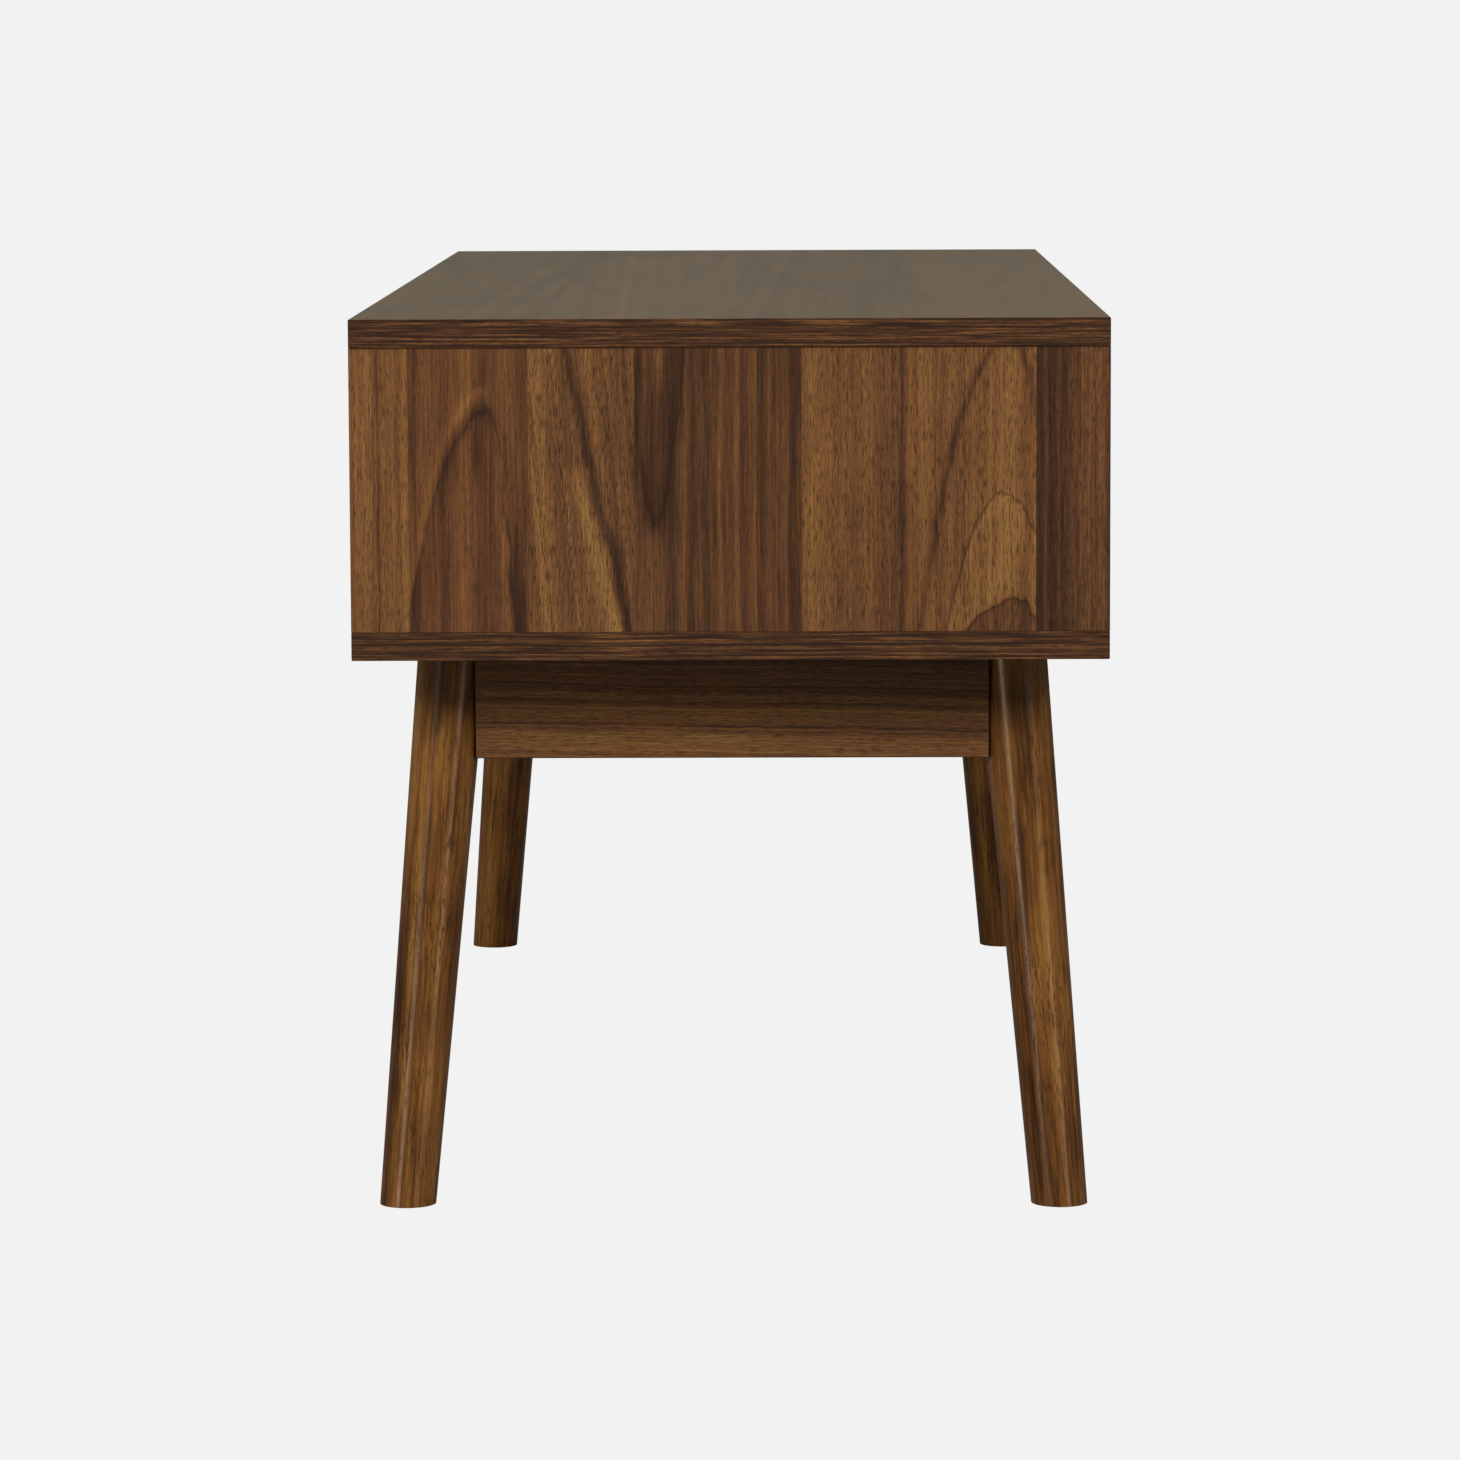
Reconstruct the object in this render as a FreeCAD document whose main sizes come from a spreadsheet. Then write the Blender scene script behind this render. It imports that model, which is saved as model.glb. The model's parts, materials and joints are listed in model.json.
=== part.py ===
import FreeCAD, Part
import os
import re
import Sketcher

# Long, low walnut side table: a closed case on a splayed four-leg frame, with one inset drawer
# on ball-bearing slides beside an open cubby.
#
# Frame: millimetres, +Z up, origin on the floor under the middle of the case.
# +X runs along the table, the open front (drawer and cubby) faces -Y.
# "left" and "right" are as seen by someone who stands at the front.

# Driving sizes, one spreadsheet cell each.
DRIVERS = {
    # whole table
    "table_length": 1000,
    "table_width": 400,
    "table_height": 480,
    "case_height": 180,
    "board": 15,            # thickness of every case board and of the drawer front
    "board_ease": 0.6,      # radius on the arrises of the two long boards
    "panel_ease": 0.3,      # radius on the arrises of the upright panels
    # legs: insets of the leg's axis from the case's edges, at the floor and under the case
    "foot_inset_x": 42.5,
    "foot_inset_y": 24,
    "crown_inset_x": 84.5,
    "crown_inset_y": 49,
    "foot_radius": 15.1,
    "crown_radius": 18.9,
    "leg_overrun": 15,         # length of cone beyond each end, cut off level
    "glide_thickness": 1,
    "glide_radius": 10,
    "glide_pin_radius": 1.2,
    "glide_pin_length": 12,
    # aprons
    "apron_height": 60,
    "apron_thickness": 20,
    "apron_ease": 1,
    "end_apron_recess": 0.4,    # outer face of an end apron, in from the widest part of a leg's crown
    "end_apron_seat": 12.5,     # its ends, inwards of the crown's axis
    "long_apron_recess": 5.9,
    "long_apron_seat": 8.5,
    # corner blocks with their bolts and screws
    "block_height": 45,
    "block_thickness": 25,
    "block_corner_gap": 14,     # its leg-side face, in along the diagonal from the aprons' corner
    "hanger_rise": 17.1,        # its bolt, above its underside
    "hanger_radius": 3,
    "hanger_grip": 24,          # length of bolt inside the leg
    "hanger_tail": 14,          # length of bolt behind the block
    "hanger_clearance": 0.5,
    "washer_radius": 8,
    "washer_thickness": 1.6,
    "nut_radius": 5.8,
    "nut_height": 5,
    "thread_clearance": 0.05,
    "screw_radius": 2,
    "screw_head_radius": 4,
    "screw_head_height": 2.5,
    "screw_counterbore": 4.5,
    "screw_clearance": 0.3,
    "screw_bite": 14,
    "block_screw_inset": 11.25,  # from the block's top and underside
    "lift_screw_bite": 10,      # the block's upright screws, in the bottom board
    "lift_screw_spread": 16,    # from the hanger bolt, along the block
    # cam joints and dowels
    "cam_radius": 7.5,
    "cam_floor": 0.6,           # of a cam disc, under its bolt's channel
    "cam_backset": 24,
    "cam_clearance": 0.1,
    "cam_slot_width": 2,
    "cover_radius": 9,
    "cover_thickness": 1,
    "cam_bolt_radius": 3,
    "cam_bolt_head_radius": 3.6,
    "cam_bolt_head_length": 3,
    "cam_bolt_bite": 10,
    "cam_channel_radius": 3.8,
    "dowel_radius": 4,
    "dowel_in_board": 9,
    "dowel_in_panel": 19,
    "dowel_clearance": 0.1,
    "hole_spare": 0.5,          # depth left at the end of every blind hole
    "cam_inset_y": 90,          # of an upright panel, in from the case's long sides
    "dowel_inset_y": 50,
    "back_cam_share": 240,      # cams of the back panel, either side of the middle
    "back_dowel_pitch": 120,
    # drawer
    "front_gap": 2,
    "notch_length": 100,
    "notch_depth": 22,
    "notch_radius": 14,
    "drawer_side": 12,
    "drawer_lift": 10,
    "drawer_headroom": 30,
    "drawer_bottom": 5,
    "bottom_lift": 8,
    "groove_depth": 5,
    "groove_clearance": 0.2,
    "bottom_side_play": 0.5,
    "rear_gap": 20,
    "drawer_cam_rise": 25,
    # ball-bearing slides
    "slide_depth": 12.7,
    "slide_height": 45,
    "slide_sheet": 1.2,
    "slide_lip": 10.2,
    "slide_setback": 3,         # front ends of the slides, behind the drawer front
    "race_gap": 3.1,
    "member_gap": 1.2,
    "stop_length": 5,
    "stop_clearance": 0.3,
    "ball_radius": 1.3,
    "ball_pocket_clearance": 0.15,
    "cage_sheet": 0.6,
    "cage_length": 150,
    "slide_screw_length": 10,
    "slide_screw_inset": 35,
    "dish_radius": 3.8,
    "dish_depth": 1.8,
    "access_radius": 5.5,
    "inner_head_height": 1.8,
}

# Sizes that follow from the driving ones.
DERIVED = {
    "half_length": "table_length / 2",
    "half_width": "table_width / 2",
    "leg_height": "table_height - case_height",
    "inside_floor": "leg_height + board",
    "inside_roof": "table_height - board",
    "inside_height": "inside_roof - inside_floor",
    "end_inner": "half_length - board",
    "back_inner": "half_width - board",
    "half_board": "board / 2",
    "cam_line_y": "half_width - cam_inset_y",
    "dowel_line_y": "half_width - dowel_inset_y",
    # legs
    "lean_x": "(crown_inset_x - foot_inset_x) / leg_height",
    "lean_y": "(crown_inset_y - foot_inset_y) / leg_height",
    "leg_stretch": "sqrt(1 + lean_x * lean_x + lean_y * lean_y)",
    "leg_taper": "(crown_radius - foot_radius) / leg_height",
    "apron_floor": "leg_height - apron_height",
    "end_apron_setback": "crown_inset_x - crown_radius + end_apron_recess",
    "end_apron_reach": "crown_inset_y + end_apron_seat",
    "long_apron_setback": "crown_inset_y - crown_radius + long_apron_recess",
    "long_apron_reach": "crown_inset_x + long_apron_seat",
    # inner corner of two aprons, and the corner block in it
    "corner_x": "half_length - end_apron_setback - apron_thickness",
    "corner_y": "half_width - long_apron_setback - apron_thickness",
    "block_near": "block_corner_gap * sqrt(2)",
    "block_far": "block_near + block_thickness * sqrt(2)",
    "block_floor": "leg_height - block_height",
    "block_mid": "(block_near + block_far) / 2",
    "hanger_height": "block_floor + hanger_rise",
    # drawer bay and box
    "bay_width": "end_inner - half_board",
    "front_rear": "board - half_width",
    "slide_front": "front_rear + slide_setback",
    "slide_length": "back_inner - front_rear - rear_gap",
    "member_length": "slide_length - stop_length",
    "box_left": "half_board + slide_depth",
    "box_right": "end_inner - slide_depth",
    "box_floor": "inside_floor + drawer_lift",
    "side_height": "inside_height - drawer_lift - drawer_headroom",
    "box_rear": "front_rear + slide_length",
    "groove_floor": "box_floor + bottom_lift",
    "slide_mid": "box_floor + side_height / 2",
    # half heights of the slide's nested channels, measured from its middle
    "outer_half": "slide_height / 2",
    "middle_half": "outer_half - slide_sheet - race_gap",
    "inner_half": "middle_half - slide_sheet - race_gap",
    "middle_web": "slide_sheet + member_gap",
    "inner_web": "slide_depth - slide_sheet",
    "inner_lip": "middle_web + slide_sheet + member_gap",
    "ball_line": "(middle_web + slide_lip) / 2",
    "cage_start": "slide_front + (member_length - cage_length) / 2",
}

DIRECTIONS = {
    "+x": (1, 0, 0), "-x": (-1, 0, 0),
    "+y": (0, 1, 0), "-y": (0, -1, 0),
    "+z": (0, 0, 1), "-z": (0, 0, -1),
}
OPPOSITE = {"+x": "-x", "-x": "+x", "+y": "-y", "-y": "+y", "+z": "-z", "-z": "+z"}

# Axis and angle that turn +Z onto each direction.
TURNS = {
    "+z": ("1; 0; 0", "0"), "-z": ("1; 0; 0", "180"),
    "+x": ("0; 1; 0", "90"), "-x": ("0; 1; 0", "-90"),
    "+y": ("1; 0; 0", "-90"), "-y": ("1; 0; 0", "90"),
}

BALLS_IN_ROW = 6
TOUCH = 1e-3    # how near an edge lies to a face that it belongs to

# Signs of X and Y at the four corners.
CORNERS = {
    "front_left": (-1, -1),
    "front_right": (1, -1),
    "back_left": (-1, 1),
    "back_right": (1, 1),
}

# The left slide's web lies on the divider; the right one is the same slide turned half round
# about Z, on the end panel.
SLIDE_SIDES = {
    "left": {"wall": "half_board", "sign": 1, "angle": "0"},
    "right": {"wall": "end_inner", "sign": -1, "angle": "180"},
}

doc = FreeCAD.newDocument("SideTable")
sheet = doc.addObject("Spreadsheet::Sheet", "Sizes")
for row, (alias, size) in enumerate(DRIVERS.items(), start=1):
    sheet.set("A%d" % row, alias)
    sheet.set("B%d" % row, str(size))
    sheet.setAlias("B%d" % row, alias)
doc.recompute()

nodes = []


def formula(text):
    """Expression in which driving sizes are sheet cells and derived sizes are spelled out."""
    def swap(match):
        word = match.group(0)
        if word in DRIVERS:
            return "Sizes." + word
        if word in DERIVED:
            return "(" + formula(DERIVED[word]) + ")"
        return word
    return re.sub(r"[a-z][a-z_]*", swap, text)


def bind(item, **sizes):
    """Bind an object's size properties to formulas."""
    for name, text in sizes.items():
        item.setExpression(name, formula(text))


def place(item, point, axis="0; 0; 1", angle="0"):
    """Put an object's own origin at a point, turned about an axis."""
    where = "placement(vector(%s; %s; %s); rotation(vector(%s); %s))" % (*point, axis, angle)
    item.setExpression("Placement", formula(where))


def shift(point, direction, amount):
    """Point moved along a direction by an amount."""
    return tuple("%s + (%d) * (%s)" % (text, sign, amount) if sign else text
                 for text, sign in zip(point, DIRECTIONS[direction]))


def node(name, item):
    """Make an object one of the table's pieces, under its own name."""
    item.Label = name
    nodes.append(item)
    return item


def box(point, size):
    """Rectangular block from its lowest corner."""
    item = doc.addObject("Part::Box", "Box")
    bind(item, Length=size[0], Width=size[1], Height=size[2])
    place(item, point)
    return item


def rod(start, direction, radius, length):
    """Cylinder from a start point along a direction."""
    item = doc.addObject("Part::Cylinder", "Rod")
    bind(item, Radius=radius, Height=length)
    place(item, start, *TURNS[direction])
    return item


def taper(start, direction, radius_start, radius_end, length):
    """Cone frustum from a start point along a direction."""
    item = doc.addObject("Part::Cone", "Taper")
    bind(item, Radius1=radius_start, Radius2=radius_end, Height=length)
    place(item, start, *TURNS[direction])
    return item


def group(items):
    """Separate solids kept together."""
    item = doc.addObject("Part::Compound", "Group")
    item.Links = items
    return item


def join(items):
    """One solid from overlapping or touching ones."""
    item = doc.addObject("Part::MultiFuse", "Join")
    item.Shapes = items
    return item


def cut(base, tools):
    """Base with the tools' space taken away."""
    item = doc.addObject("Part::Cut", "Cut")
    item.Base = base
    item.Tool = tools[0] if len(tools) == 1 else join(tools)
    return item


def common(first, second):
    """Space that two solids share."""
    item = doc.addObject("Part::Common", "Common")
    item.Base = first
    item.Tool = second
    return item


def draw_outline(body, plane_role, points):
    """Closed outline of straight lines on one of the body's origin planes."""
    sketch = body.newObject("Sketcher::SketchObject", "Outline")
    plane = [item for item in body.Origin.OriginFeatures if item.Role == plane_role][0]
    sketch.AttachmentSupport = [(plane, "")]
    sketch.MapMode = "FlatFace"
    values = [[FreeCAD.Units.Quantity(sheet.evalExpression(formula(text))).Value for text in point]
              for point in points]
    corners = [FreeCAD.Vector(across, up, 0) for across, up in values]
    count = len(corners)
    for index in range(count):
        sketch.addGeometry(Part.LineSegment(corners[index], corners[(index + 1) % count]), False)
    for index in range(count):
        sketch.addConstraint(Sketcher.Constraint("Coincident", index, 2, (index + 1) % count, 1))
    for index, (across, up) in enumerate(points):
        for kind, text, start in (("DistanceX", across, corners[index].x),
                                  ("DistanceY", up, corners[index].y)):
            number = sketch.addConstraint(Sketcher.Constraint(kind, -1, 1, index, 1, start))
            sketch.setExpression("Constraints[%d]" % number, formula(text))
    return sketch


def profile(plane_role, points, length):
    """Body padded from an outline."""
    body = doc.addObject("PartDesign::Body", "Body")
    pad = body.newObject("PartDesign::Pad", "Pad")
    pad.Profile = draw_outline(body, plane_role, points)
    bind(pad, Length=length)
    doc.recompute()
    return body


def round_edges(body, radius, wanted):
    """Fillet on the edges of a body that a test picks."""
    feature = body.Tip
    names = ["Edge%d" % (index + 1) for index, edge in enumerate(feature.Shape.Edges) if wanted(edge)]
    fillet = body.newObject("PartDesign::Fillet", "Fillet")
    fillet.Base = (feature, names)
    bind(fillet, Radius=radius)
    doc.recompute()


def slab(point, size, ease):
    """Rectangular board from its lowest corner, with every arris eased."""
    outline = [("0", "0"), (size[0], "0"), (size[0], size[1]), ("0", size[1])]
    body = profile("XY_Plane", outline, size[2])
    round_edges(body, ease, lambda edge: True)
    place(body, point)
    return body


def channel(half_height, web, lip, length):
    """C-shaped sheet profile: web at the given place, flanges out to the lip, padded along -Y."""
    outline = [
        (web, "-(%s)" % half_height),
        (lip, "-(%s)" % half_height),
        (lip, "-(%s) + slide_sheet" % half_height),
        ("%s + slide_sheet" % web, "-(%s) + slide_sheet" % half_height),
        ("%s + slide_sheet" % web, "%s - slide_sheet" % half_height),
        (lip, "%s - slide_sheet" % half_height),
        (lip, half_height),
        (web, half_height),
    ]
    return profile("XZ_Plane", outline, length)


def screw(seat, direction, length, radius="screw_radius", head_radius="screw_head_radius",
          head_height="screw_head_height"):
    """Flat-headed screw: the head stands behind the seat, the shank runs ahead of it."""
    head = rod(shift(seat, OPPOSITE[direction], head_height), direction, head_radius, head_height)
    return join([head, rod(seat, direction, radius, length)])


def cam_joint(seat, into_board, open_side, half_thickness):
    """Cam bolt, cam disc and the holes for them.

    The seat is where the bolt's axis crosses the joint, into_board points from the panel that
    holds the disc to the board that holds the thread, and the disc faces open_side.
    """
    into_panel = OPPOSITE[into_board]
    centre = shift(seat, into_panel, "cam_backset")
    face = shift(centre, open_side, half_thickness)
    inward = OPPOSITE[open_side]
    disc_depth = "%s + cam_channel_radius + cam_floor" % half_thickness
    shaft = rod(centre, into_board, "cam_bolt_radius", "cam_backset + cam_bolt_bite")
    head = rod(centre, into_board, "cam_bolt_head_radius", "cam_bolt_head_length")
    keyway = rod(shift(centre, into_panel, "cam_channel_radius"), into_board,
                 "cam_channel_radius", "cam_channel_radius + 2 * cam_radius")
    drive = box(tuple("%s - cam_slot_width / 2" % text for text in face),
                ("cam_slot_width", "cam_slot_width", "cam_slot_width"))
    return {
        "bolt": join([shaft, head]),
        "disc": cut(rod(face, inward, "cam_radius - cam_clearance", disc_depth), [keyway, drive]),
        "cover": rod(face, open_side, "cover_radius", "cover_thickness"),
        "panel_holes": [
            rod(face, inward, "cam_radius", "%s + hole_spare" % disc_depth),
            rod(centre, into_board, "cam_channel_radius", "cam_backset"),
        ],
        "board_holes": [rod(seat, into_board, "cam_bolt_radius + thread_clearance",
                            "cam_bolt_bite + hole_spare")],
    }


def dowel_joint(seat, into_board):
    """Dowel across a joint and the two holes for it."""
    into_panel = OPPOSITE[into_board]
    start = shift(seat, into_panel, "dowel_in_panel")
    hole_radius = "dowel_radius + dowel_clearance"
    return {
        "dowel": rod(start, into_board, "dowel_radius", "dowel_in_panel + dowel_in_board"),
        "panel_holes": [rod(seat, into_panel, hole_radius, "dowel_in_panel + hole_spare")],
        "board_holes": [rod(seat, into_board, hole_radius, "dowel_in_board + hole_spare")],
    }


# ---------------------------------------------------------------- case
# Each upright panel is held to the bottom board and the top board by cams and dowels. A panel is
# given by its eased board, the middle line of its thickness, the side its cams open to, and the
# places of its cams and dowels along that line.
def slide_screw_insets():
    """Places of the case-side slide screws, behind the slide's front end."""
    return ("slide_screw_inset", "member_length / 2", "member_length - slide_screw_inset")


def slide_wall_holes(side):
    """Dished screw holes that one slide needs in the panel beside it."""
    into_wall = "-x" if side["sign"] > 0 else "+x"
    holes = []
    for inset in slide_screw_insets():
        face = shift((side["wall"], "slide_front + %s" % inset, "slide_mid"),
                     OPPOSITE[into_wall], "slide_sheet")
        holes.append(taper(face, into_wall, "dish_radius", "screw_radius", "dish_depth"))
        holes.append(rod(face, into_wall, "screw_radius + thread_clearance",
                         "slide_sheet + slide_screw_length + hole_spare"))
    return holes


def upright_panels():
    """Ends, divider and back: name, board, cam seats, dowel seats and open side of each."""
    depth = "table_width"
    ends = []
    for name, sign, open_side in (("end_panel_right", 1, "-x"), ("end_panel_left", -1, "+x")):
        middle = "(%d) * (half_length - half_board)" % sign
        ends.append({
            "name": name,
            "board": slab(("%s - half_board" % middle, "-half_width", "inside_floor"),
                          ("board", depth, "inside_height"), "panel_ease"),
            "cams": [(middle, "-cam_line_y"), (middle, "cam_line_y")],
            "dowels": [(middle, "-dowel_line_y"), (middle, "0"), (middle, "dowel_line_y")],
            "open_side": open_side,
        })
    divider = {
        "name": "centre_divider",
        "board": slab(("-half_board", "-half_width + panel_ease", "inside_floor"),
                      ("board", "back_inner + half_width - panel_ease", "inside_height"),
                      "panel_ease"),
        "cams": [("0", "-cam_line_y"), ("0", "cam_line_y")],
        "dowels": [("0", "-dowel_line_y"), ("0", "0"), ("0", "dowel_line_y")],
        "open_side": "+x",
        "holes": slide_wall_holes(SLIDE_SIDES["left"]),
    }
    ends[0]["holes"] = slide_wall_holes(SLIDE_SIDES["right"])
    back_line = "half_width - half_board"
    back = {
        "name": "back_panel",
        "board": slab(("-end_inner", "back_inner", "inside_floor"),
                      ("2 * end_inner", "board", "inside_height"), "panel_ease"),
        "cams": [("-back_cam_share", back_line), ("back_cam_share", back_line)],
        "dowels": [("(%d) * back_dowel_pitch" % step, back_line) for step in (-3, -1, 1, 3)],
        "open_side": "-y",
    }
    return ends + [divider, back]


def build_case():
    """Boards and panels with their cams, bolts, covers and dowels."""
    loose = {"cam_discs": [], "cam_bolts": [], "cam_covers": [], "dowels": []}
    levels = {"+z": "inside_roof", "-z": "inside_floor"}
    board_holes = {"+z": [], "-z": []}
    for panel in upright_panels():
        holes = panel.get("holes", [])
        for into_board, level in levels.items():
            for x, y in panel["cams"]:
                parts = cam_joint((x, y, level), into_board, panel["open_side"], "half_board")
                loose["cam_discs"].append(parts["disc"])
                loose["cam_bolts"].append(parts["bolt"])
                loose["cam_covers"].append(parts["cover"])
                holes += parts["panel_holes"]
                board_holes[into_board] += parts["board_holes"]
            for x, y in panel["dowels"]:
                parts = dowel_joint((x, y, level), into_board)
                loose["dowels"].append(parts["dowel"])
                holes += parts["panel_holes"]
                board_holes[into_board] += parts["board_holes"]
        node(panel["name"], cut(panel["board"], holes))
    for name, items in loose.items():
        node(name, group(items))
    return board_holes


def build_long_boards(board_holes):
    """Top and bottom boards, drilled for what is fixed into them."""
    size = ("table_length", "table_width", "board")
    top = slab(("-half_length", "-half_width", "inside_roof"), size, "board_ease")
    bottom = slab(("-half_length", "-half_width", "leg_height"), size, "board_ease")
    node("top_board", cut(top, board_holes["+z"]))
    node("bottom_board", cut(bottom, board_holes["-z"]))


# ---------------------------------------------------------------- frame
def leg_axis_point(signs, height):
    """Point of a leg's axis at a height."""
    sx, sy = signs
    return ("(%d) * (half_length - foot_inset_x - lean_x * (%s))" % (sx, height),
            "(%d) * (half_width - foot_inset_y - lean_y * (%s))" % (sy, height),
            height)


def leg_blank(signs):
    """Round tapered leg on its splayed axis, cut level at the glide and under the case."""
    sx, sy = signs
    cone = doc.addObject("Part::Cone", "Leg")
    bind(cone,
         Radius1="foot_radius - leg_taper * leg_overrun",
         Radius2="crown_radius + leg_taper * leg_overrun",
         Height="(leg_height + 2 * leg_overrun) * leg_stretch")
    place(cone, leg_axis_point(signs, "-leg_overrun"),
          "(%d) * lean_y; (%d) * lean_x; 0" % (sy, -sx),
          "atan(sqrt(lean_x * lean_x + lean_y * lean_y))")
    reach = "crown_inset_x + crown_radius + leg_overrun"
    corner = leg_axis_point(signs, "0")
    slice_box = box(("%s - (%s)" % (corner[0], reach), "%s - (%s)" % (corner[1], reach),
                     "glide_thickness"),
                    ("2 * (%s)" % reach, "2 * (%s)" % reach, "leg_height - glide_thickness"))
    return common(cone, slice_box)


def apron_seats(signs):
    """Space of the two aprons' ends, which flattens the leg's two inner sides."""
    sx, sy = signs
    along = "half_length - long_apron_reach"
    across = "half_width - end_apron_reach"
    height = "apron_height + board"
    beyond = "crown_radius * 2"
    low_x = along + " - %s" % beyond if sx > 0 else "-(%s)" % along
    low_y = across + " - %s" % beyond if sy > 0 else "-(%s)" % across
    wide = "4 * (%s)" % beyond
    middle_x = "(%d) * (half_length - crown_inset_x)" % sx
    middle_y = "(%d) * (half_width - crown_inset_y)" % sy
    return [
        box((low_x, "%s - %s / 2" % (middle_y, wide), "apron_floor"), (beyond, wide, height)),
        box(("%s - %s / 2" % (middle_x, wide), low_y, "apron_floor"), (wide, beyond, height)),
    ]


def diagonal_item(kind, signs, distance, height, outward, **sizes):
    """Round or six-sided piece on a corner's diagonal, a distance in from the aprons' corner."""
    sx, sy = signs
    item = doc.addObject(kind, "Diagonal")
    bind(item, **sizes)
    point = ("(%d) * (corner_x - (%s) / sqrt(2))" % (sx, distance),
             "(%d) * (corner_y - (%s) / sqrt(2))" % (sy, distance), height)
    turn = 1 if outward else -1
    place(item, point, "(%d); (%d); 0" % (-sy * turn, sx * turn), "90")
    return item


def build_corner(name, signs, loose):
    """Leg, corner block and their fixings at one corner; returns the holes in its neighbours."""
    sx, sy = signs
    block_face = "block_far / sqrt(2)"
    bolt_length = "hanger_tail + block_thickness + block_corner_gap + hanger_grip"
    bolt = {"Radius": "hanger_radius", "Height": bolt_length}
    loose["hanger_bolts"].append(diagonal_item(
        "Part::Cylinder", signs, block_face + " + hanger_tail", "hanger_height", True, **bolt))
    leg_hole = diagonal_item(
        "Part::Cylinder", signs, block_face + " + hanger_tail", "hanger_height", True,
        Radius="hanger_radius + thread_clearance", Height=bolt_length + " + hole_spare")
    block_hole = diagonal_item(
        "Part::Cylinder", signs, block_face + " + board", "hanger_height", True,
        Radius="hanger_radius + hanger_clearance", Height="block_thickness + 2 * board")
    washer = diagonal_item("Part::Cylinder", signs, block_face, "hanger_height", False,
                           Radius="washer_radius", Height="washer_thickness")
    nut = diagonal_item("Part::Prism", signs, block_face + " + washer_thickness",
                        "hanger_height", False, Circumradius="nut_radius", Height="nut_height")
    nut.Polygon = 6
    for piece, blank in (("washers", washer), ("hanger_nuts", nut)):
        bore = diagonal_item(
            "Part::Cylinder", signs, block_face + " + hanger_tail", "hanger_height", True,
            Radius="hanger_radius + thread_clearance", Height="hanger_tail + board")
        loose[piece].append(cut(blank, [bore]))

    # The four screws of the block: two into each apron, and two upright ones into the case.
    block_tools = [block_hole]
    end_holes = []
    long_holes = []
    into_end = "+x" if sx > 0 else "-x"
    into_long = "+y" if sy > 0 else "-y"
    wall = "(block_far - block_mid) / 2"
    for level in ("block_floor + block_screw_inset", "leg_height - block_screw_inset"):
        seat_end = ("(%d) * (corner_x - %s)" % (sx, wall),
                    "(%d) * (corner_y - block_mid)" % sy, level)
        seat_long = ("(%d) * (corner_x - block_mid)" % sx,
                     "(%d) * (corner_y - %s)" % (sy, wall), level)
        for seat, direction, holes in ((seat_end, into_end, end_holes),
                                       (seat_long, into_long, long_holes)):
            length = "%s + screw_bite" % wall
            loose["block_screws"].append(screw(seat, direction, length))
            block_tools.append(rod(seat, direction, "screw_radius + screw_clearance", "block_far"))
            block_tools.append(rod(seat, OPPOSITE[direction], "screw_counterbore", "block_far"))
            holes.append(rod(seat, direction, "screw_radius + thread_clearance",
                             length + " + hole_spare"))
    board_holes = []
    for side in (-1, 1):
        seat = ("(%d) * (corner_x - block_mid / 2 + (%d) * lift_screw_spread / sqrt(2))" % (sx, side),
                "(%d) * (corner_y - block_mid / 2 - (%d) * lift_screw_spread / sqrt(2))" % (sy, side),
                "block_floor + screw_head_height")
        length = "leg_height - (block_floor + screw_head_height) + lift_screw_bite"
        loose["frame_screws"].append(screw(seat, "+z", length))
        block_tools.append(rod(seat, "+z", "screw_radius + screw_clearance", "block_height"))
        block_tools.append(rod(seat, "-z", "screw_counterbore", "block_height"))
        board_holes.append(rod(seat, "+z", "screw_radius + thread_clearance",
                               length + " + hole_spare"))

    quarter = {(1, 1): "180", (-1, -1): "0", (1, -1): "90", (-1, 1): "-90"}[signs]
    outline = [("0", "block_near"), ("0", "block_far"), ("block_far", "0"), ("block_near", "0")]
    block = profile("XY_Plane", outline, "block_height")
    place(block, ("(%d) * corner_x" % sx, "(%d) * corner_y" % sy, "block_floor"), angle=quarter)
    node("corner_block_" + name, cut(block, block_tools))

    foot = leg_axis_point(signs, "0")
    pin_hole = rod(foot, "+z", "glide_pin_radius + thread_clearance",
                   "glide_pin_length + glide_thickness + hole_spare")
    node("leg_" + name, cut(leg_blank(signs), apron_seats(signs) + [leg_hole, pin_hole]))
    loose["foot_glides"].append(join([
        rod(foot, "+z", "glide_radius", "glide_thickness"),
        rod(foot, "+z", "glide_pin_radius", "glide_pin_length + glide_thickness"),
    ]))
    return end_holes, long_holes, board_holes


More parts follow.
